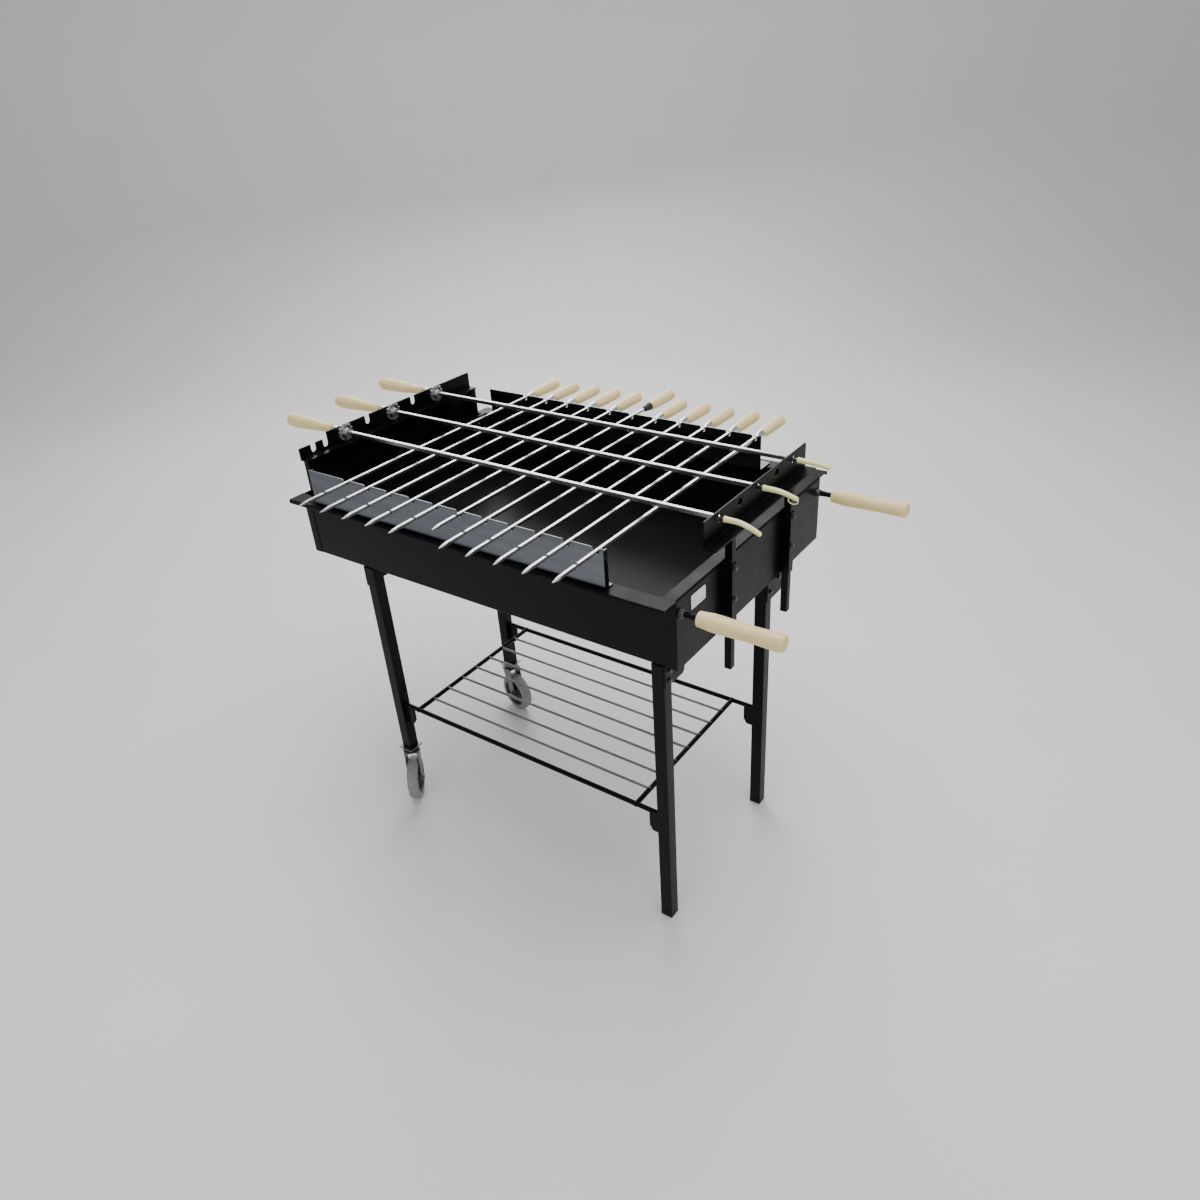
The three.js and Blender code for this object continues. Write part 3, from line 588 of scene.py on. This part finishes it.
def clamp_screws():
    """Screws through the right sleeves that hold the posts at their height."""
    bm = bmesh.new()
    for side in SIDES:
        place = centre_of(f"right_post_{side}")
        for height in (62 * MM, 121 * MM):
            add_bolt(bm, (place.x + POST_SLEEVE, place.y, BOTTOM + height), (1, 0, 0), 5 * MM)
        place = centre_of(f"left_post_{side}")
        add_bolt(bm, (place.x + POST_SLEEVE, place.y, RIM - 22 * MM), (1, 0, 0), 5 * MM)
    dress(object_from(bm, "clamp_screws"), "cart", "zinc_plate", DULL)


# ---- legs, shelf and castors ----
def legs():
    """Square tubes with a lug for the shelf's rail; the right ones stand on plastic caps."""
    lug_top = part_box("shelf")[0].z - 0.3 * MM
    half = LEG_TUBE / 2
    for end in ENDS:
        for side in SIDES:
            node = f"leg_{side}_{end}"
            low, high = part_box(node)
            centre = tube_centre(side, end)
            bm = bmesh.new()
            foot = low.z + (5 * MM if end == "right" else 0)
            add_square_tube(bm, centre, half, half - SHEET, foot, high.z, 1.8 * MM)
            inward = 1 if end == "left" else -1
            near = centre.x + inward * (half - 0.5 * MM)
            far = high.x if end == "left" else low.x
            cut = inward * 7 * MM
            lug_bottom = lug_top - 42 * MM
            outline = [(near, lug_top), (far, lug_top), (far, lug_bottom + 12 * MM), (far - cut, lug_bottom),
                       (near, lug_bottom)]
            add_cut_plate(bm, [outline], 6 * MM, standing_along(centre.y), 0.5 * MM)
            for across in (-3 * MM, 3 * MM):
                x, y = centre.x + inward * (half + 0.4 * MM), centre.y + across
                add_weld(bm, (x, y, lug_top - 39 * MM), (x, y, lug_top - 3 * MM), 1 * MM)
            dress(object_from(bm, node + "_tube"), "cart", "black_paint", PAINT, node)
            if end == "right":
                cap = bmesh.new()
                top = foot + 0.2 * MM
                add_block(cap, (centre.x - half, low.y, low.z), (centre.x + half, high.y, top), 1.5 * MM)
                dress(object_from(cap, node + "_cap"), "cart", "black_paint", CAPS)


def shelf():
    """Two rails on the legs' lugs, two cross rails and seven thinner rods welded on."""
    low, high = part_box("shelf")
    height = (low.z + high.z) / 2
    front_left, front_right = tube_centre("front", "left"), tube_centre("front", "right")
    cross = [front_left.x + 54 * MM, front_right.x - 67 * MM]
    lines = [tube_centre(side, "left").y for side in SIDES]
    bm = bmesh.new()
    for side, y in zip(SIDES, lines):
        start = tube_centre(side, "left").x + LEG_TUBE / 2 + 0.3 * MM
        end = tube_centre(side, "right").x - LEG_TUBE / 2 - 0.3 * MM
        rail = stations(start, (0, 0), (0, 4.6), (0.5, 5)) + stations(end, (-0.5, 5), (0, 4.6), (0, 0))
        add_turned(bm, rail, "x", (0, y, height), 20)
        for x in cross:
            blob = stations(0, (-6.4, 0), (-5, 3.4), (0, 6.6), (5, 3.4), (6.4, 0))
            add_turned(bm, blob, "x", (x, y, height), 14)
        for x, inward in ((start, 1), (end, -1)):
            for across in (-3.4 * MM, 3.4 * MM):
                add_weld(bm, (x + inward * 2 * MM, y + across, low.z + 0.6 * MM),
                         (x + inward * 21 * MM, y + across, low.z + 0.6 * MM), 1 * MM)
    for x in cross:
        rail = stations(lines[0], (0, 0), (0, 5)) + stations(lines[1], (0, 5), (0, 0))
        add_turned(bm, rail, "y", (x, 0, height), 20)
    dress(object_from(bm, "shelf_rails"), "cart", "black_paint", PAINT, "shelf")
    rods = bmesh.new()
    pitch = (lines[1] - lines[0]) / 8
    for i in range(1, 8):
        y = lines[0] + i * pitch
        rod = stations(cross[0], (0, 0), (0, 2.8)) + stations(cross[1], (0, 2.8), (0, 0))
        add_turned(rods, rod, "x", (0, y, height + 1 * MM), 14)
        for x in cross:
            blob = stations(0, (-4, 0), (-3, 2.4), (0, 3.7), (3, 2.4), (4, 0))
            add_turned(rods, blob, "y", (x, y, height + 2.2 * MM), 10)
    dress(object_from(rods, "shelf_rods"), "cart", "black_paint", WIRE)


def castor_heading(side):
    """The direction in which a castor trails at rest, from its wheel's axle joint."""
    joint = next(j for j in frame["joints"] if j["name"] == f"wheel_{side}_roll")
    axle = Vector(joint["axis"])
    return Vector((axle.y, -axle.x, 0)), Vector(joint["pos_m"]), axle


def castor(side):
    heading, hub, axle = castor_heading(side)
    mount = centre_of(f"castor_mount_{side}")
    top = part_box(f"leg_{side}_left")[0].z
    turn = Matrix.Translation((mount.x, mount.y, 0)) @ Matrix(
        ((heading.x, axle.x, 0, 0), (heading.y, axle.y, 0, 0), (0, 0, 1, 0), (0, 0, 0, 1)))
    local_hub = (hub - Vector((mount.x, mount.y, 0))).dot(heading)

    bm = bmesh.new()
    under = Vector((mount.x, mount.y, top - 3 * MM))
    reach = Vector((19 * MM, 19 * MM, 0))
    add_block(bm, under - reach, under + reach + Vector((0, 0, 3 * MM)), 0.8 * MM)
    race = stations(0, (-10, 0), (-10, 12.5), (-8.5, 15), (-6, 16.6), (-3, 17), (-2.4, 17), (-2.4, 0))
    add_turned(bm, race, "z", (mount.x, mount.y, top), 40)
    for sx in (-1, 1):
        for sy in (-1, 1):
            corner = Vector((sx * 14.5 * MM, sy * 14.5 * MM, 0))
            add_bolt(bm, under + corner, (0, 0, -1), 3.2 * MM, False)
    dress(object_from(bm, f"castor_plate_{side}"), "cart", "zinc_plate", ZINC, f"castor_mount_{side}")

    fork = bmesh.new()
    crown = top - 10.6 * MM
    crown_profile = stations(crown, (-3, 0), (-3, 19), (-1.6, 20), (-0.6, 19), (0, 16), (0, 0))
    add_turned(fork, crown_profile, "z", (0, 0, 0), 40)
    inner, sheet = 13.5 * MM, 2.5 * MM
    arc = [(local_hub + 10 * MM * math.cos(a), hub.z + 10 * MM * math.sin(a))
           for a in [math.pi + math.pi * i / 10 for i in range(11)]]
    outline = [(-17 * MM, crown - 3 * MM), (-14 * MM, crown - 15 * MM), *arc, (17 * MM, crown - 15 * MM),
               (17 * MM, crown - 3 * MM)]
    for sign in (-1, 1):
        at = sign * (inner + sheet / 2)
        add_cut_plate(fork, [outline], sheet, standing_along(at), 0.5 * MM)
        end = (local_hub, sign * (inner + sheet), hub.z)
        add_turned(fork, stations(0, (0, 0), (0, 7), (2.2, 7), (2.2, 0)), facing((0, sign, 0)), end, 24)
        add_bolt(fork, end, (0, sign, 0), 6 * MM)
    outer = inner + sheet
    add_block(fork, (-15 * MM, -outer, crown - 4.5 * MM), (17 * MM, outer, crown - 1.5 * MM), 1.0 * MM)
    axle_bar = stations(-inner, (0, 0), (0, 4)) + stations(inner, (0, 4), (0, 0))
    add_turned(fork, axle_bar, "y", (local_hub, 0, hub.z), 20)
    fork.transform(turn)
    steel = object_from(fork, f"castor_fork_steel_{side}")
    dress(steel, f"castor_{side}", "zinc_plate", ZINC, f"castor_fork_{side}")

    place = Matrix.Translation(hub) @ turn.to_3x3().to_4x4() @ TO_AXIS["y"]
    half = 12 * MM
    tyre = bmesh.new()
    near, far = -half, half
    tread = [*stations(near, (0, 37), (0, 44), (1.2, 47.2), (4, 49.3), (9, 50)),
             *stations(far, (-9, 50), (-4, 49.3), (-1.2, 47.2), (0, 44), (0, 37), (-1.5, 36)),
             *stations(near, (1.5, 36), (0, 37))]
    add_turned(tyre, tread, place.to_3x3().to_4x4(), hub, 72)
    rubber = object_from(tyre, f"castor_tyre_{side}")
    dress(rubber, f"wheel_{side}", "grey_tyre", TREAD, f"castor_wheel_{side}")
    core = bmesh.new()
    disc = [*stations(near, (0, 5), (0, 11), (1, 12), (5, 13), (6, 32), (1, 34), (0.6, 36.6)),
            *stations(far, (-0.6, 36.6), (-1, 34), (-6, 32), (-5, 13), (-1, 12), (0, 11), (0, 5)),
            *stations(near, (0, 5))]
    add_turned(core, disc, place.to_3x3().to_4x4(), hub, 72)
    for i in range(8):
        spin = Matrix.Rotation(2 * math.pi * i / 8, 4, "Z")
        rib = bmesh.new()
        add_block(rib, (11 * MM, -1.2 * MM, -half + 2.5 * MM), (34 * MM, 1.2 * MM, half - 2.5 * MM), 0.5 * MM)
        rib.transform(place @ spin)
        ribs = bpy.data.meshes.new("rib")
        rib.to_mesh(ribs)
        rib.free()
        core.from_mesh(ribs)
        bpy.data.meshes.remove(ribs)
    dress(object_from(core, f"castor_core_{side}"), f"wheel_{side}", "grey_tyre", HUB)


# ---- spit rests ----
def circle(centre, radius, count=28):
    return [(centre[0] + radius * math.cos(2 * math.pi * i / count),
             centre[1] + radius * math.sin(2 * math.pi * i / count)) for i in range(count)]


def ease_in(centre, top, radius, ease):
    """The rounded upper corner on the left of a notch."""
    turns = [step * math.pi / 10 for step in range(6)]
    return [(centre - radius - ease + ease * math.sin(t), top - ease + ease * math.cos(t)) for t in turns]


def notch(centre, top, width, depth, ease):
    """A round-bottomed notch with eased mouths, from left to right."""
    radius = width / 2
    left = ease_in(centre, top, radius, ease)
    floor = top - depth + radius
    turns = [math.pi + math.pi * i / 12 for i in range(13)]
    bowl = [(centre + radius * math.cos(t), floor + radius * math.sin(t)) for t in turns]
    return left + bowl + [(2 * centre - x, z) for x, z in reversed(left)]


def notched(start, end, bottom, top, centres, width, depth, ease=1.6 * MM):
    """A rectangle whose top edge has notches."""
    outline = [(end, top), (end, bottom), (start, bottom), (start, top)]
    for centre in centres:
        outline += notch(centre, top, width, depth, ease)
    return outline


def left_rest_outline(low, high, ledge, centres):
    """The left rest's plate: a tall skirt, a low front stretch and the notches of the spits."""
    step = high.z - 12 * MM
    first, second = low.y + 36 * MM, low.y + 68 * MM
    width, ease = 13.5 * MM, 1.6 * MM
    outline = [(high.y, high.z), (high.y, low.z), (low.y + 14 * MM, low.z), (low.y + 14 * MM, ledge),
               (low.y, ledge), (low.y, step)]
    outline += notch(first, step, width, 18 * MM, ease)
    right_mouth = 6  # points; the second notch runs straight up into the taller stretch instead
    outline += notch(second, step, width, 18 * MM, ease)[:-right_mouth]
    outline.append((second + width / 2, high.z))
    for centre in centres:
        outline += notch(centre, high.z, width, 20 * MM, ease)
    return outline


def spit_rest(end):
    node = f"{end}_spit_rest"
    low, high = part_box(node)
    thick = 3 * MM
    rods = [centre_of(f"spit_rod_{place}") for place in SPITS]
    spit_y = [place.y for place in rods]
    half_steps = [(a + b) / 2 for a, b in zip(spit_y, spit_y[1:])]
    axis_z = rods[0].z
    radius = 3.4 * MM
    wall = low.x
    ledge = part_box(f"{end}_post_front")[1].z + 0.3 * MM
    bm = bmesh.new()
    if end == "left":
        outlines = [left_rest_outline(low, high, ledge, sorted(spit_y + half_steps))]
        path = [(wall + thick - 0.4 * MM, ledge + thick / 2), (high.x, ledge + thick / 2)]
    else:
        bend_top = low.z + radius + 1 * MM
        cut = 2 * MM
        outline = [(high.y - cut, high.z), (high.y, high.z - cut), (high.y, bend_top), (low.y, bend_top),
                   (low.y, high.z - cut), (low.y + cut, high.z)]
        outlines = [outline] + [circle((y, axis_z), 7.5 * MM) for y in sorted(spit_y + half_steps)]
        middle = wall + thick / 2
        path = [(middle, bend_top), (middle, low.z + thick / 2), (high.x, low.z + thick / 2)]
    add_cut_plate(bm, outlines, thick, standing_across(wall + thick / 2), 0.3 * MM)
    add_extruded(bm, bent_sheet(path, thick, radius), "y", low.y, high.y)
    if end == "left":
        reach = 20 * MM
        x, z = wall + thick, ledge + thick
        for y in (low.y + 2 * reach, 0, high.y - 2 * reach):
            add_weld(bm, (x, y - reach, z), (x, y + reach, z), 1.2 * MM)
    for side in SIDES:
        post = centre_of(f"{end}_post_{side}")
        for along in (-6 * MM, 6 * MM):
            y, z = post.y + along, ledge - 0.4 * MM
            add_weld(bm, (post.x - 6 * MM, y, z), (post.x + 6 * MM, y, z))
    dress(object_from(bm, f"{end}_rest_angle"), f"{end}_rest", "black_paint", PAINT, node)
    for side in SIDES:
        low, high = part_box(f"{end}_post_{side}")
        bar = bmesh.new()
        add_block(bar, low, high + Vector((0, 0, 0.3 * MM)), 0.9 * MM)
        post_bar = object_from(bar, f"{end}_post_bar_{side}")
        dress(post_bar, f"{end}_rest", "black_paint", PAINT, f"{end}_post_{side}")


# ---- long spits ----
def long_spit(place):
    body = f"spit_{place}"
    low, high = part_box(f"spit_rod_{place}")
    grip_low, grip_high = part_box(f"spit_grip_{place}")
    axis = Vector((0, (low.y + high.y) / 2, (low.z + high.z) / 2))
    collar = grip_high.x + 0.3 * MM
    taper = RIGHT + 9 * MM

    bm = bmesh.new()
    widths = [*stations(collar, (10, 4)), *stations(taper, (0, 4), (3, 2.7)),
              *stations(high.x, (-8, 2.4), (0, 0))]
    add_bar(bm, [(distance, half, half) for distance, half in widths], "x", axis)
    dress(object_from(bm, f"spit_bar_{place}"), body, "stainless", STEEL_X, f"spit_rod_{place}")

    ferrule = bmesh.new()
    profile = stations(collar, (0, 0), (0, 7.6), (0.5, 8), (4, 8), (4.5, 7.6), (5, 8), (12, 7.8),
                       (15, 6.4), (16, 5.2), (16, 0))
    add_turned(ferrule, profile, "x", axis, 40)
    dress(object_from(ferrule, f"spit_ferrule_{place}"), body, "stainless", BRIGHT)

    grip = bmesh.new()
    outer_part = stations(grip_low.x, (0, 0), (0, 6.5), (0.8, 9.4), (2.4, 11.8), (5, 13.4), (10, 14.3),
                          (20, 14.6), (34, 14.5), (54, 13.7), (75, 12.5), (95, 11), (112, 9.9))
    inner_part = stations(grip_high.x, (-17, 9.5), (-12, 9.8), (-8, 10.6), (-4.5, 11), (-1.5, 10.8),
                          (0, 9.8), (0, 0))
    add_turned(grip, outer_part + inner_part, "x", axis, 48)
    dress(object_from(grip, f"spit_handle_{place}"), body, "pine", WOOD_X, f"spit_grip_{place}")


def gear_outline(radius, tooth, teeth):
    """The toothed edge of a wheel drawn around its own axis."""
    root = radius - tooth
    corners = ((0.0, root), (0.42, root), (0.56, radius - 0.3 * MM), (0.62, radius), (0.84, radius),
               (0.9, radius - 0.3 * MM))
    outline = []
    for count in range(teeth):
        for share, reach in corners:
            turn = 2 * math.pi * (count + share) / teeth
            outline.append((reach * math.cos(turn), reach * math.sin(turn)))
    return outline


def spoke_opening(middle, reach, inner, outer):
    """One opening of a wheel between two spokes, its corners left plain."""
    turns = [middle - reach + 2 * reach * i / 10 for i in range(11)]
    far = [(outer * math.cos(t), outer * math.sin(t)) for t in turns]
    near = [(inner * math.cos(t), inner * math.sin(t)) for t in reversed(turns)]
    return far + near


def spit_gear(place):
    """The toothed wheel of a long spit, with its hub and set screw."""
    node = f"spit_gear_{place}"
    low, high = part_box(node)
    axis = centre_of(f"spit_rod_{place}")
    width, half = 6 * MM, 4.3 * MM
    reach = math.pi / 4 - 0.2
    openings = [spoke_opening((i + 0.5) * math.pi / 2, reach, 9.6 * MM, 13.4 * MM) for i in range(4)]
    outlines = [gear_outline(19 * MM, 2.4 * MM, 14), rectangle(-half, half, -half, half), *openings]
    bm = bmesh.new()
    place_at = Matrix.Translation((0, axis.y, axis.z)) @ standing_across(low.x + width / 2)
    add_cut_plate(bm, outlines, width, place_at, 0.35 * MM)
    hub = [(width - 1 * MM, 4.2 * MM), (width - 1 * MM, 8.6 * MM), (high.x - low.x - 0.8 * MM, 8.6 * MM),
           (high.x - low.x, 7.8 * MM), (high.x - low.x, 4.2 * MM), (width - 1 * MM, 4.2 * MM)]
    add_turned(bm, hub, "x", Vector((low.x, axis.y, axis.z)), 36)
    screw = Vector((high.x - 3 * MM, axis.y, axis.z + 8.2 * MM))
    add_turned(bm, stations(0, (0, 0), (0, 2.2), (2, 2.2), (2.4, 1.8), (2.4, 0)), "z", screw, 16)
    dress(object_from(bm, f"spit_wheel_{place}"), f"spit_{place}", "zinc_plate", CAST, node)


def tip_guard(place):
    """A soft sleeve pushed over the point, its free end hanging down."""
    node = f"spit_tip_guard_{place}"
    low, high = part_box(node)
    axis = Vector((low.x, centre_of(node).y, centre_of(f"spit_rod_{place}").z))
    droop = axis.z - low.z - 5.4 * MM
    length = high.x - low.x - 1 * MM
    points = []
    radii = []
    steps = 24
    for i in range(steps + 1):
        share = i / steps
        sag = droop * max(0.0, (share - 0.3) / 0.7) ** 1.7
        points.append(axis + Vector((length * share, 0, -sag)))
        rim = 0.5 * MM if i < 2 else 0.0
        radii.append(5.0 * MM + rim - 0.8 * MM * share)
    radii[-1] = 2.4 * MM
    bm = bmesh.new()
    add_tube(bm, points, radii, 20)
    if place == "middle":
        end = points[-1]
        loop = []
        for i in range(25):
            turn = 2 * math.pi * i / 24
            across, down = 9 * math.cos(turn) - 9, 6.3 * math.sin(turn) + 3
            loop.append(end + Vector((across, 0, -down)) * MM)
        add_tube(bm, loop, 1.1 * MM, 8)
    dress(object_from(bm, f"tip_sleeve_{place}"), f"spit_{place}", "yellow_vinyl", VINYL, node)


# ---- small skewers ----
def small_skewer(label):
    body = f"skewer_{label}"
    low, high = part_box(f"skewer_rod_{label}")
    grip_low, grip_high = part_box(f"skewer_grip_{label}")
    axis = Vector(((grip_low.x + grip_high.x) / 2, 0, (grip_low.z + grip_high.z) / 2))
    neck = low.y + 63 * MM
    ferrule = grip_low.y - 24.3 * MM
    bm = bmesh.new()
    half = 3 * MM
    thin = 1.9 * MM
    add_bar(bm, [(low.y, 0, 0), (low.y + 3 * MM, 1.1 * MM, 0.8 * MM), (low.y + 14 * MM, 3.2 * MM, 2.2 * MM),
                 (low.y + 22 * MM, half, half), (neck - 4 * MM, half, half), (neck - 3 * MM, thin, thin),
                 (neck + 2 * MM, thin, thin), (neck + 3 * MM, half, half),
                 (ferrule + 2 * MM, half, half)], "y", axis)
    # Painted shade: the faces of the narrowed neck take the dark screw metal, a dark band standing in for the
    # shade in the neck's groove.
    for face in bm.faces:
        if abs(face.calc_center_median().y - neck) < 3 * MM:
            face.material_index = 1
    dress(object_from(bm, f"skewer_bar_{label}"), body, "stainless", [STEEL_Y, DULL], f"skewer_rod_{label}")
    cap = bmesh.new()
    cone = [*stations(ferrule, (0, 0), (0, 4.2), (0.5, 4.7), (4, 6.2), (5, 6.1), (6, 6.5)),
            *stations(grip_low.y, (-2.5, 8.5), (-1, 8.8), (-0.3, 8.4), (-0.3, 0))]
    add_turned(cap, cone, "y", axis, 36)
    look = CAPS if label == "06" else BRIGHT
    dress(object_from(cap, f"skewer_ferrule_{label}"), body, "stainless", look)
    grip = bmesh.new()
    handle = [*stations(grip_low.y, (0, 0), (0, 8.4), (0.8, 9.1), (9, 10.2), (22, 11.3), (44, 11.9)),
              *stations(grip_high.y, (-16, 12.2), (-6, 12.1), (-3, 11.6), (-1.2, 10.6), (0, 8.8), (0, 0))]
    add_turned(grip, handle, "y", axis, 44)
    dress(object_from(grip, f"skewer_handle_{label}"), body, "pine", WOOD_Y, f"skewer_grip_{label}")


# ---- skewer rack ----
def rack_plate(side):
    node = f"rack_{side}_plate"
    low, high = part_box(node)
    skewer_x = [centre_of(f"skewer_grip_{label}").x for label in SKEWERS]
    wall = low.y + 1 * MM
    radius = 2.4 * MM
    bend_top = low.z + radius + 1 * MM
    bm = bmesh.new()
    outline = notched(low.x, high.x, bend_top, high.z, skewer_x, 10.5 * MM, 12.2 * MM, 5 * MM)
    add_cut_plate(bm, [outline], SHEET, standing_along(wall), 0.35 * MM)
    foot = high.y
    path = [(wall, bend_top), (wall, low.z + SHEET / 2), (foot, low.z + SHEET / 2)]
    add_extruded(bm, bent_sheet(path, SHEET, radius), "x", low.x, high.x)
    if side == "front":
        for x0, x1 in ((low.x, low.x + SHEET), (high.x - SHEET, high.x)):
            add_block(bm, (x0, wall, low.z + 1 * MM), (x1, wall + 10 * MM, high.z - 3 * MM), 0.4 * MM)
    dress(object_from(bm, f"rack_{side}_sheet"), "cart", "blued_steel", BLUED, node)
    screws = bmesh.new()
    for share in (0.06, 0.5, 0.94):
        x = low.x + (high.x - low.x) * share
        at = foot - 9 * MM if side == "rear" else foot - 6 * MM
        head = stations(0, (0, 0), (0, 4.2), (1.2, 4), (2.4, 2.4), (2.6, 0))
        add_turned(screws, head, "z", (x, at, low.z + SHEET), 24)
    dress(object_from(screws, f"rack_{side}_screws"), "cart", "zinc_plate", BRIGHT)


# ---- carry handles and label ----
def carry_handle(side):
    low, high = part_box(f"carry_rod_{side}")
    grip_low, grip_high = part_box(f"carry_grip_{side}")
    axis = Vector((0, (grip_low.y + grip_high.y) / 2, (grip_low.z + grip_high.z) / 2))
    bm = bmesh.new()
    start = grip_low.x
    shank = stations(low.x, (5, 0), (5, 5)) + stations(start, (20, 5), (20, 0))
    add_turned(bm, shank, "x", axis, 28)
    for i in range(7):
        at = RIGHT + 8 * MM + i * 1.6 * MM
        add_turned(bm, stations(at, (-0.8, 4.9), (0, 5.5), (0.8, 4.9), (-0.8, 4.9)), "x", axis, 28)
    dress(object_from(bm, f"carry_shank_{side}"), "cart", "black_paint", PAINT, f"carry_rod_{side}")
    nuts = bmesh.new()
    add_bolt(nuts, (RIGHT + 0.3 * MM, axis.y, axis.z), (1, 0, 0), 9 * MM)
    add_bolt(nuts, (RIGHT - 2.3 * MM, axis.y, axis.z), (-1, 0, 0), 8 * MM)
    dress(object_from(nuts, f"carry_nuts_{side}"), "cart", "zinc_plate", DULL)
    grip = bmesh.new()
    grooves = stations(start, (0, 0), (0, 11.6), (0.8, 12.8), (3, 13.4), (5, 13.3), (6, 12.7), (7, 12.8),
                       (8, 13.7), (11, 13.9), (12, 13.3), (13, 13.3), (14, 14.1))
    waist = stations(start, (24, 15.2), (36, 15.4), (56, 14.8), (84, 13.8), (104, 13.9))
    butt = stations(grip_high.x, (-28, 14.5), (-10, 14.8), (-4, 14.4), (-1.5, 13.2), (0, 11), (0, 0))
    add_turned(grip, grooves + waist + butt, "x", axis, 52)
    dress(object_from(grip, f"carry_handle_{side}"), "cart", "pine", WOOD_X, f"carry_grip_{side}")


def label_plate():
    low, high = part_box("label_plate")
    bm = bmesh.new()
    radius = 3 * MM
    outline = []
    for cy, cz, first in ((high.y - radius, high.z - radius, 0), (low.y + radius, high.z - radius, 1),
                          (low.y + radius, low.z + radius, 2), (high.y - radius, low.z + radius, 3)):
        for i in range(6):
            turn = (first + i / 5) * math.pi / 2
            outline.append((cy + radius * math.cos(turn), cz + radius * math.sin(turn)))
    add_cut_plate(bm, [outline], high.x - low.x, standing_across((low.x + high.x) / 2), 0.15 * MM)
    dress(object_from(bm, "label_sticker"), "cart", "white_label", LABEL, "label_plate")


# ---- stage ----
def floor():
    bm = bmesh.new()
    reach, depth, rise, sweep = 6.0, 4.5, 4.0, 1.5
    profile = [(-reach, 0.0), (depth - sweep, 0.0)]
    for i in range(1, 13):
        turn = math.pi / 2 * i / 12
        profile.append((depth - sweep + sweep * math.sin(turn), sweep - sweep * math.cos(turn)))
    profile.append((depth, rise))
    lines = [[bm.verts.new((x, y, z)) for y, z in profile] for x in (-8.0, 8.0)]
    for i in range(len(profile) - 1):
        bm.faces.new([lines[0][i], lines[1][i], lines[1][i + 1], lines[0][i + 1]])
    made = object_from(bm, "studio_floor")
    material, nodes, links, shader = new_material("studio_white")
    vector = coordinates(nodes, links, (1, 1, 1))
    tone = ramp(nodes, links, noise(nodes, links, vector, 3, 3), [(0.2, grey(0.80)), (0.8, grey(0.83))])
    links.new(tone, shader.inputs["Base Color"])
    shader.inputs["Roughness"].default_value = 0.75
    made.data.materials.append(material)
    made.rotation_euler.z = math.radians(37)


def area_light(name, place, target, size, power):
    data = bpy.data.lights.new(name, "AREA")
    data.shape = "RECTANGLE"
    data.size, data.size_y = size
    data.energy = power
    lamp = bpy.data.objects.new(name, data)
    lamp.location = place
    lamp.rotation_euler = (Vector(target) - Vector(place)).to_track_quat("-Z", "Y").to_euler()
    bpy.context.scene.collection.objects.link(lamp)


def lights():
    world = bpy.data.worlds.new("studio")
    world.use_nodes = True
    world.node_tree.nodes["Background"].inputs["Color"].default_value = (1, 1, 1, 1)
    world.node_tree.nodes["Background"].inputs["Strength"].default_value = 0.4
    bpy.context.scene.world = world
    aim = (0, 0, 0.6)
    area_light("top_softbox", (0.2, 0.3, 3.0), aim, (2.6, 2.0), 70)
    area_light("rear_softbox", (-2.2, 2.6, 2.5), aim, (2.6, 1.6), 90)
    area_light("front_softbox", (0.4, -3.2, 1.9), aim, (2.2, 1.6), 22)
    area_light("right_softbox", (3.0, -1.2, 1.6), aim, (1.8, 1.6), 20)


def camera():
    """A standing photographer's view from in front of the right end."""
    floor_of_tray = BOTTOM + 0.3 * MM
    place = Vector((RIGHT + 0.6692, FRONT - 1.0776, floor_of_tray + 0.8920))
    right = Vector((0.8163, 0.5742, -0.0624)).normalized()
    forward = Vector((-0.5212, 0.6857, -0.5081)).normalized()
    up = right.cross(forward)
    data = bpy.data.cameras.new("camera")
    data.sensor_width = 36
    data.lens = 28.16
    view = bpy.data.objects.new("camera", data)
    turn = Matrix((right, up, -forward)).transposed()
    view.matrix_world = Matrix.Translation(place) @ turn.to_4x4()
    bpy.context.scene.collection.objects.link(view)
    bpy.context.scene.camera = view


firebox_body()
firebox_sleeves()
firebox_brackets()
clamp_screws()
legs()
shelf()
for side in SIDES:
    castor(side)
for end in ENDS:
    spit_rest(end)
for place in SPITS:
    long_spit(place)
    spit_gear(place)
    tip_guard(place)
for label in SKEWERS:
    small_skewer(label)
for side in SIDES:
    rack_plate(side)
    carry_handle(side)
label_plate()
floor()
lights()
camera()
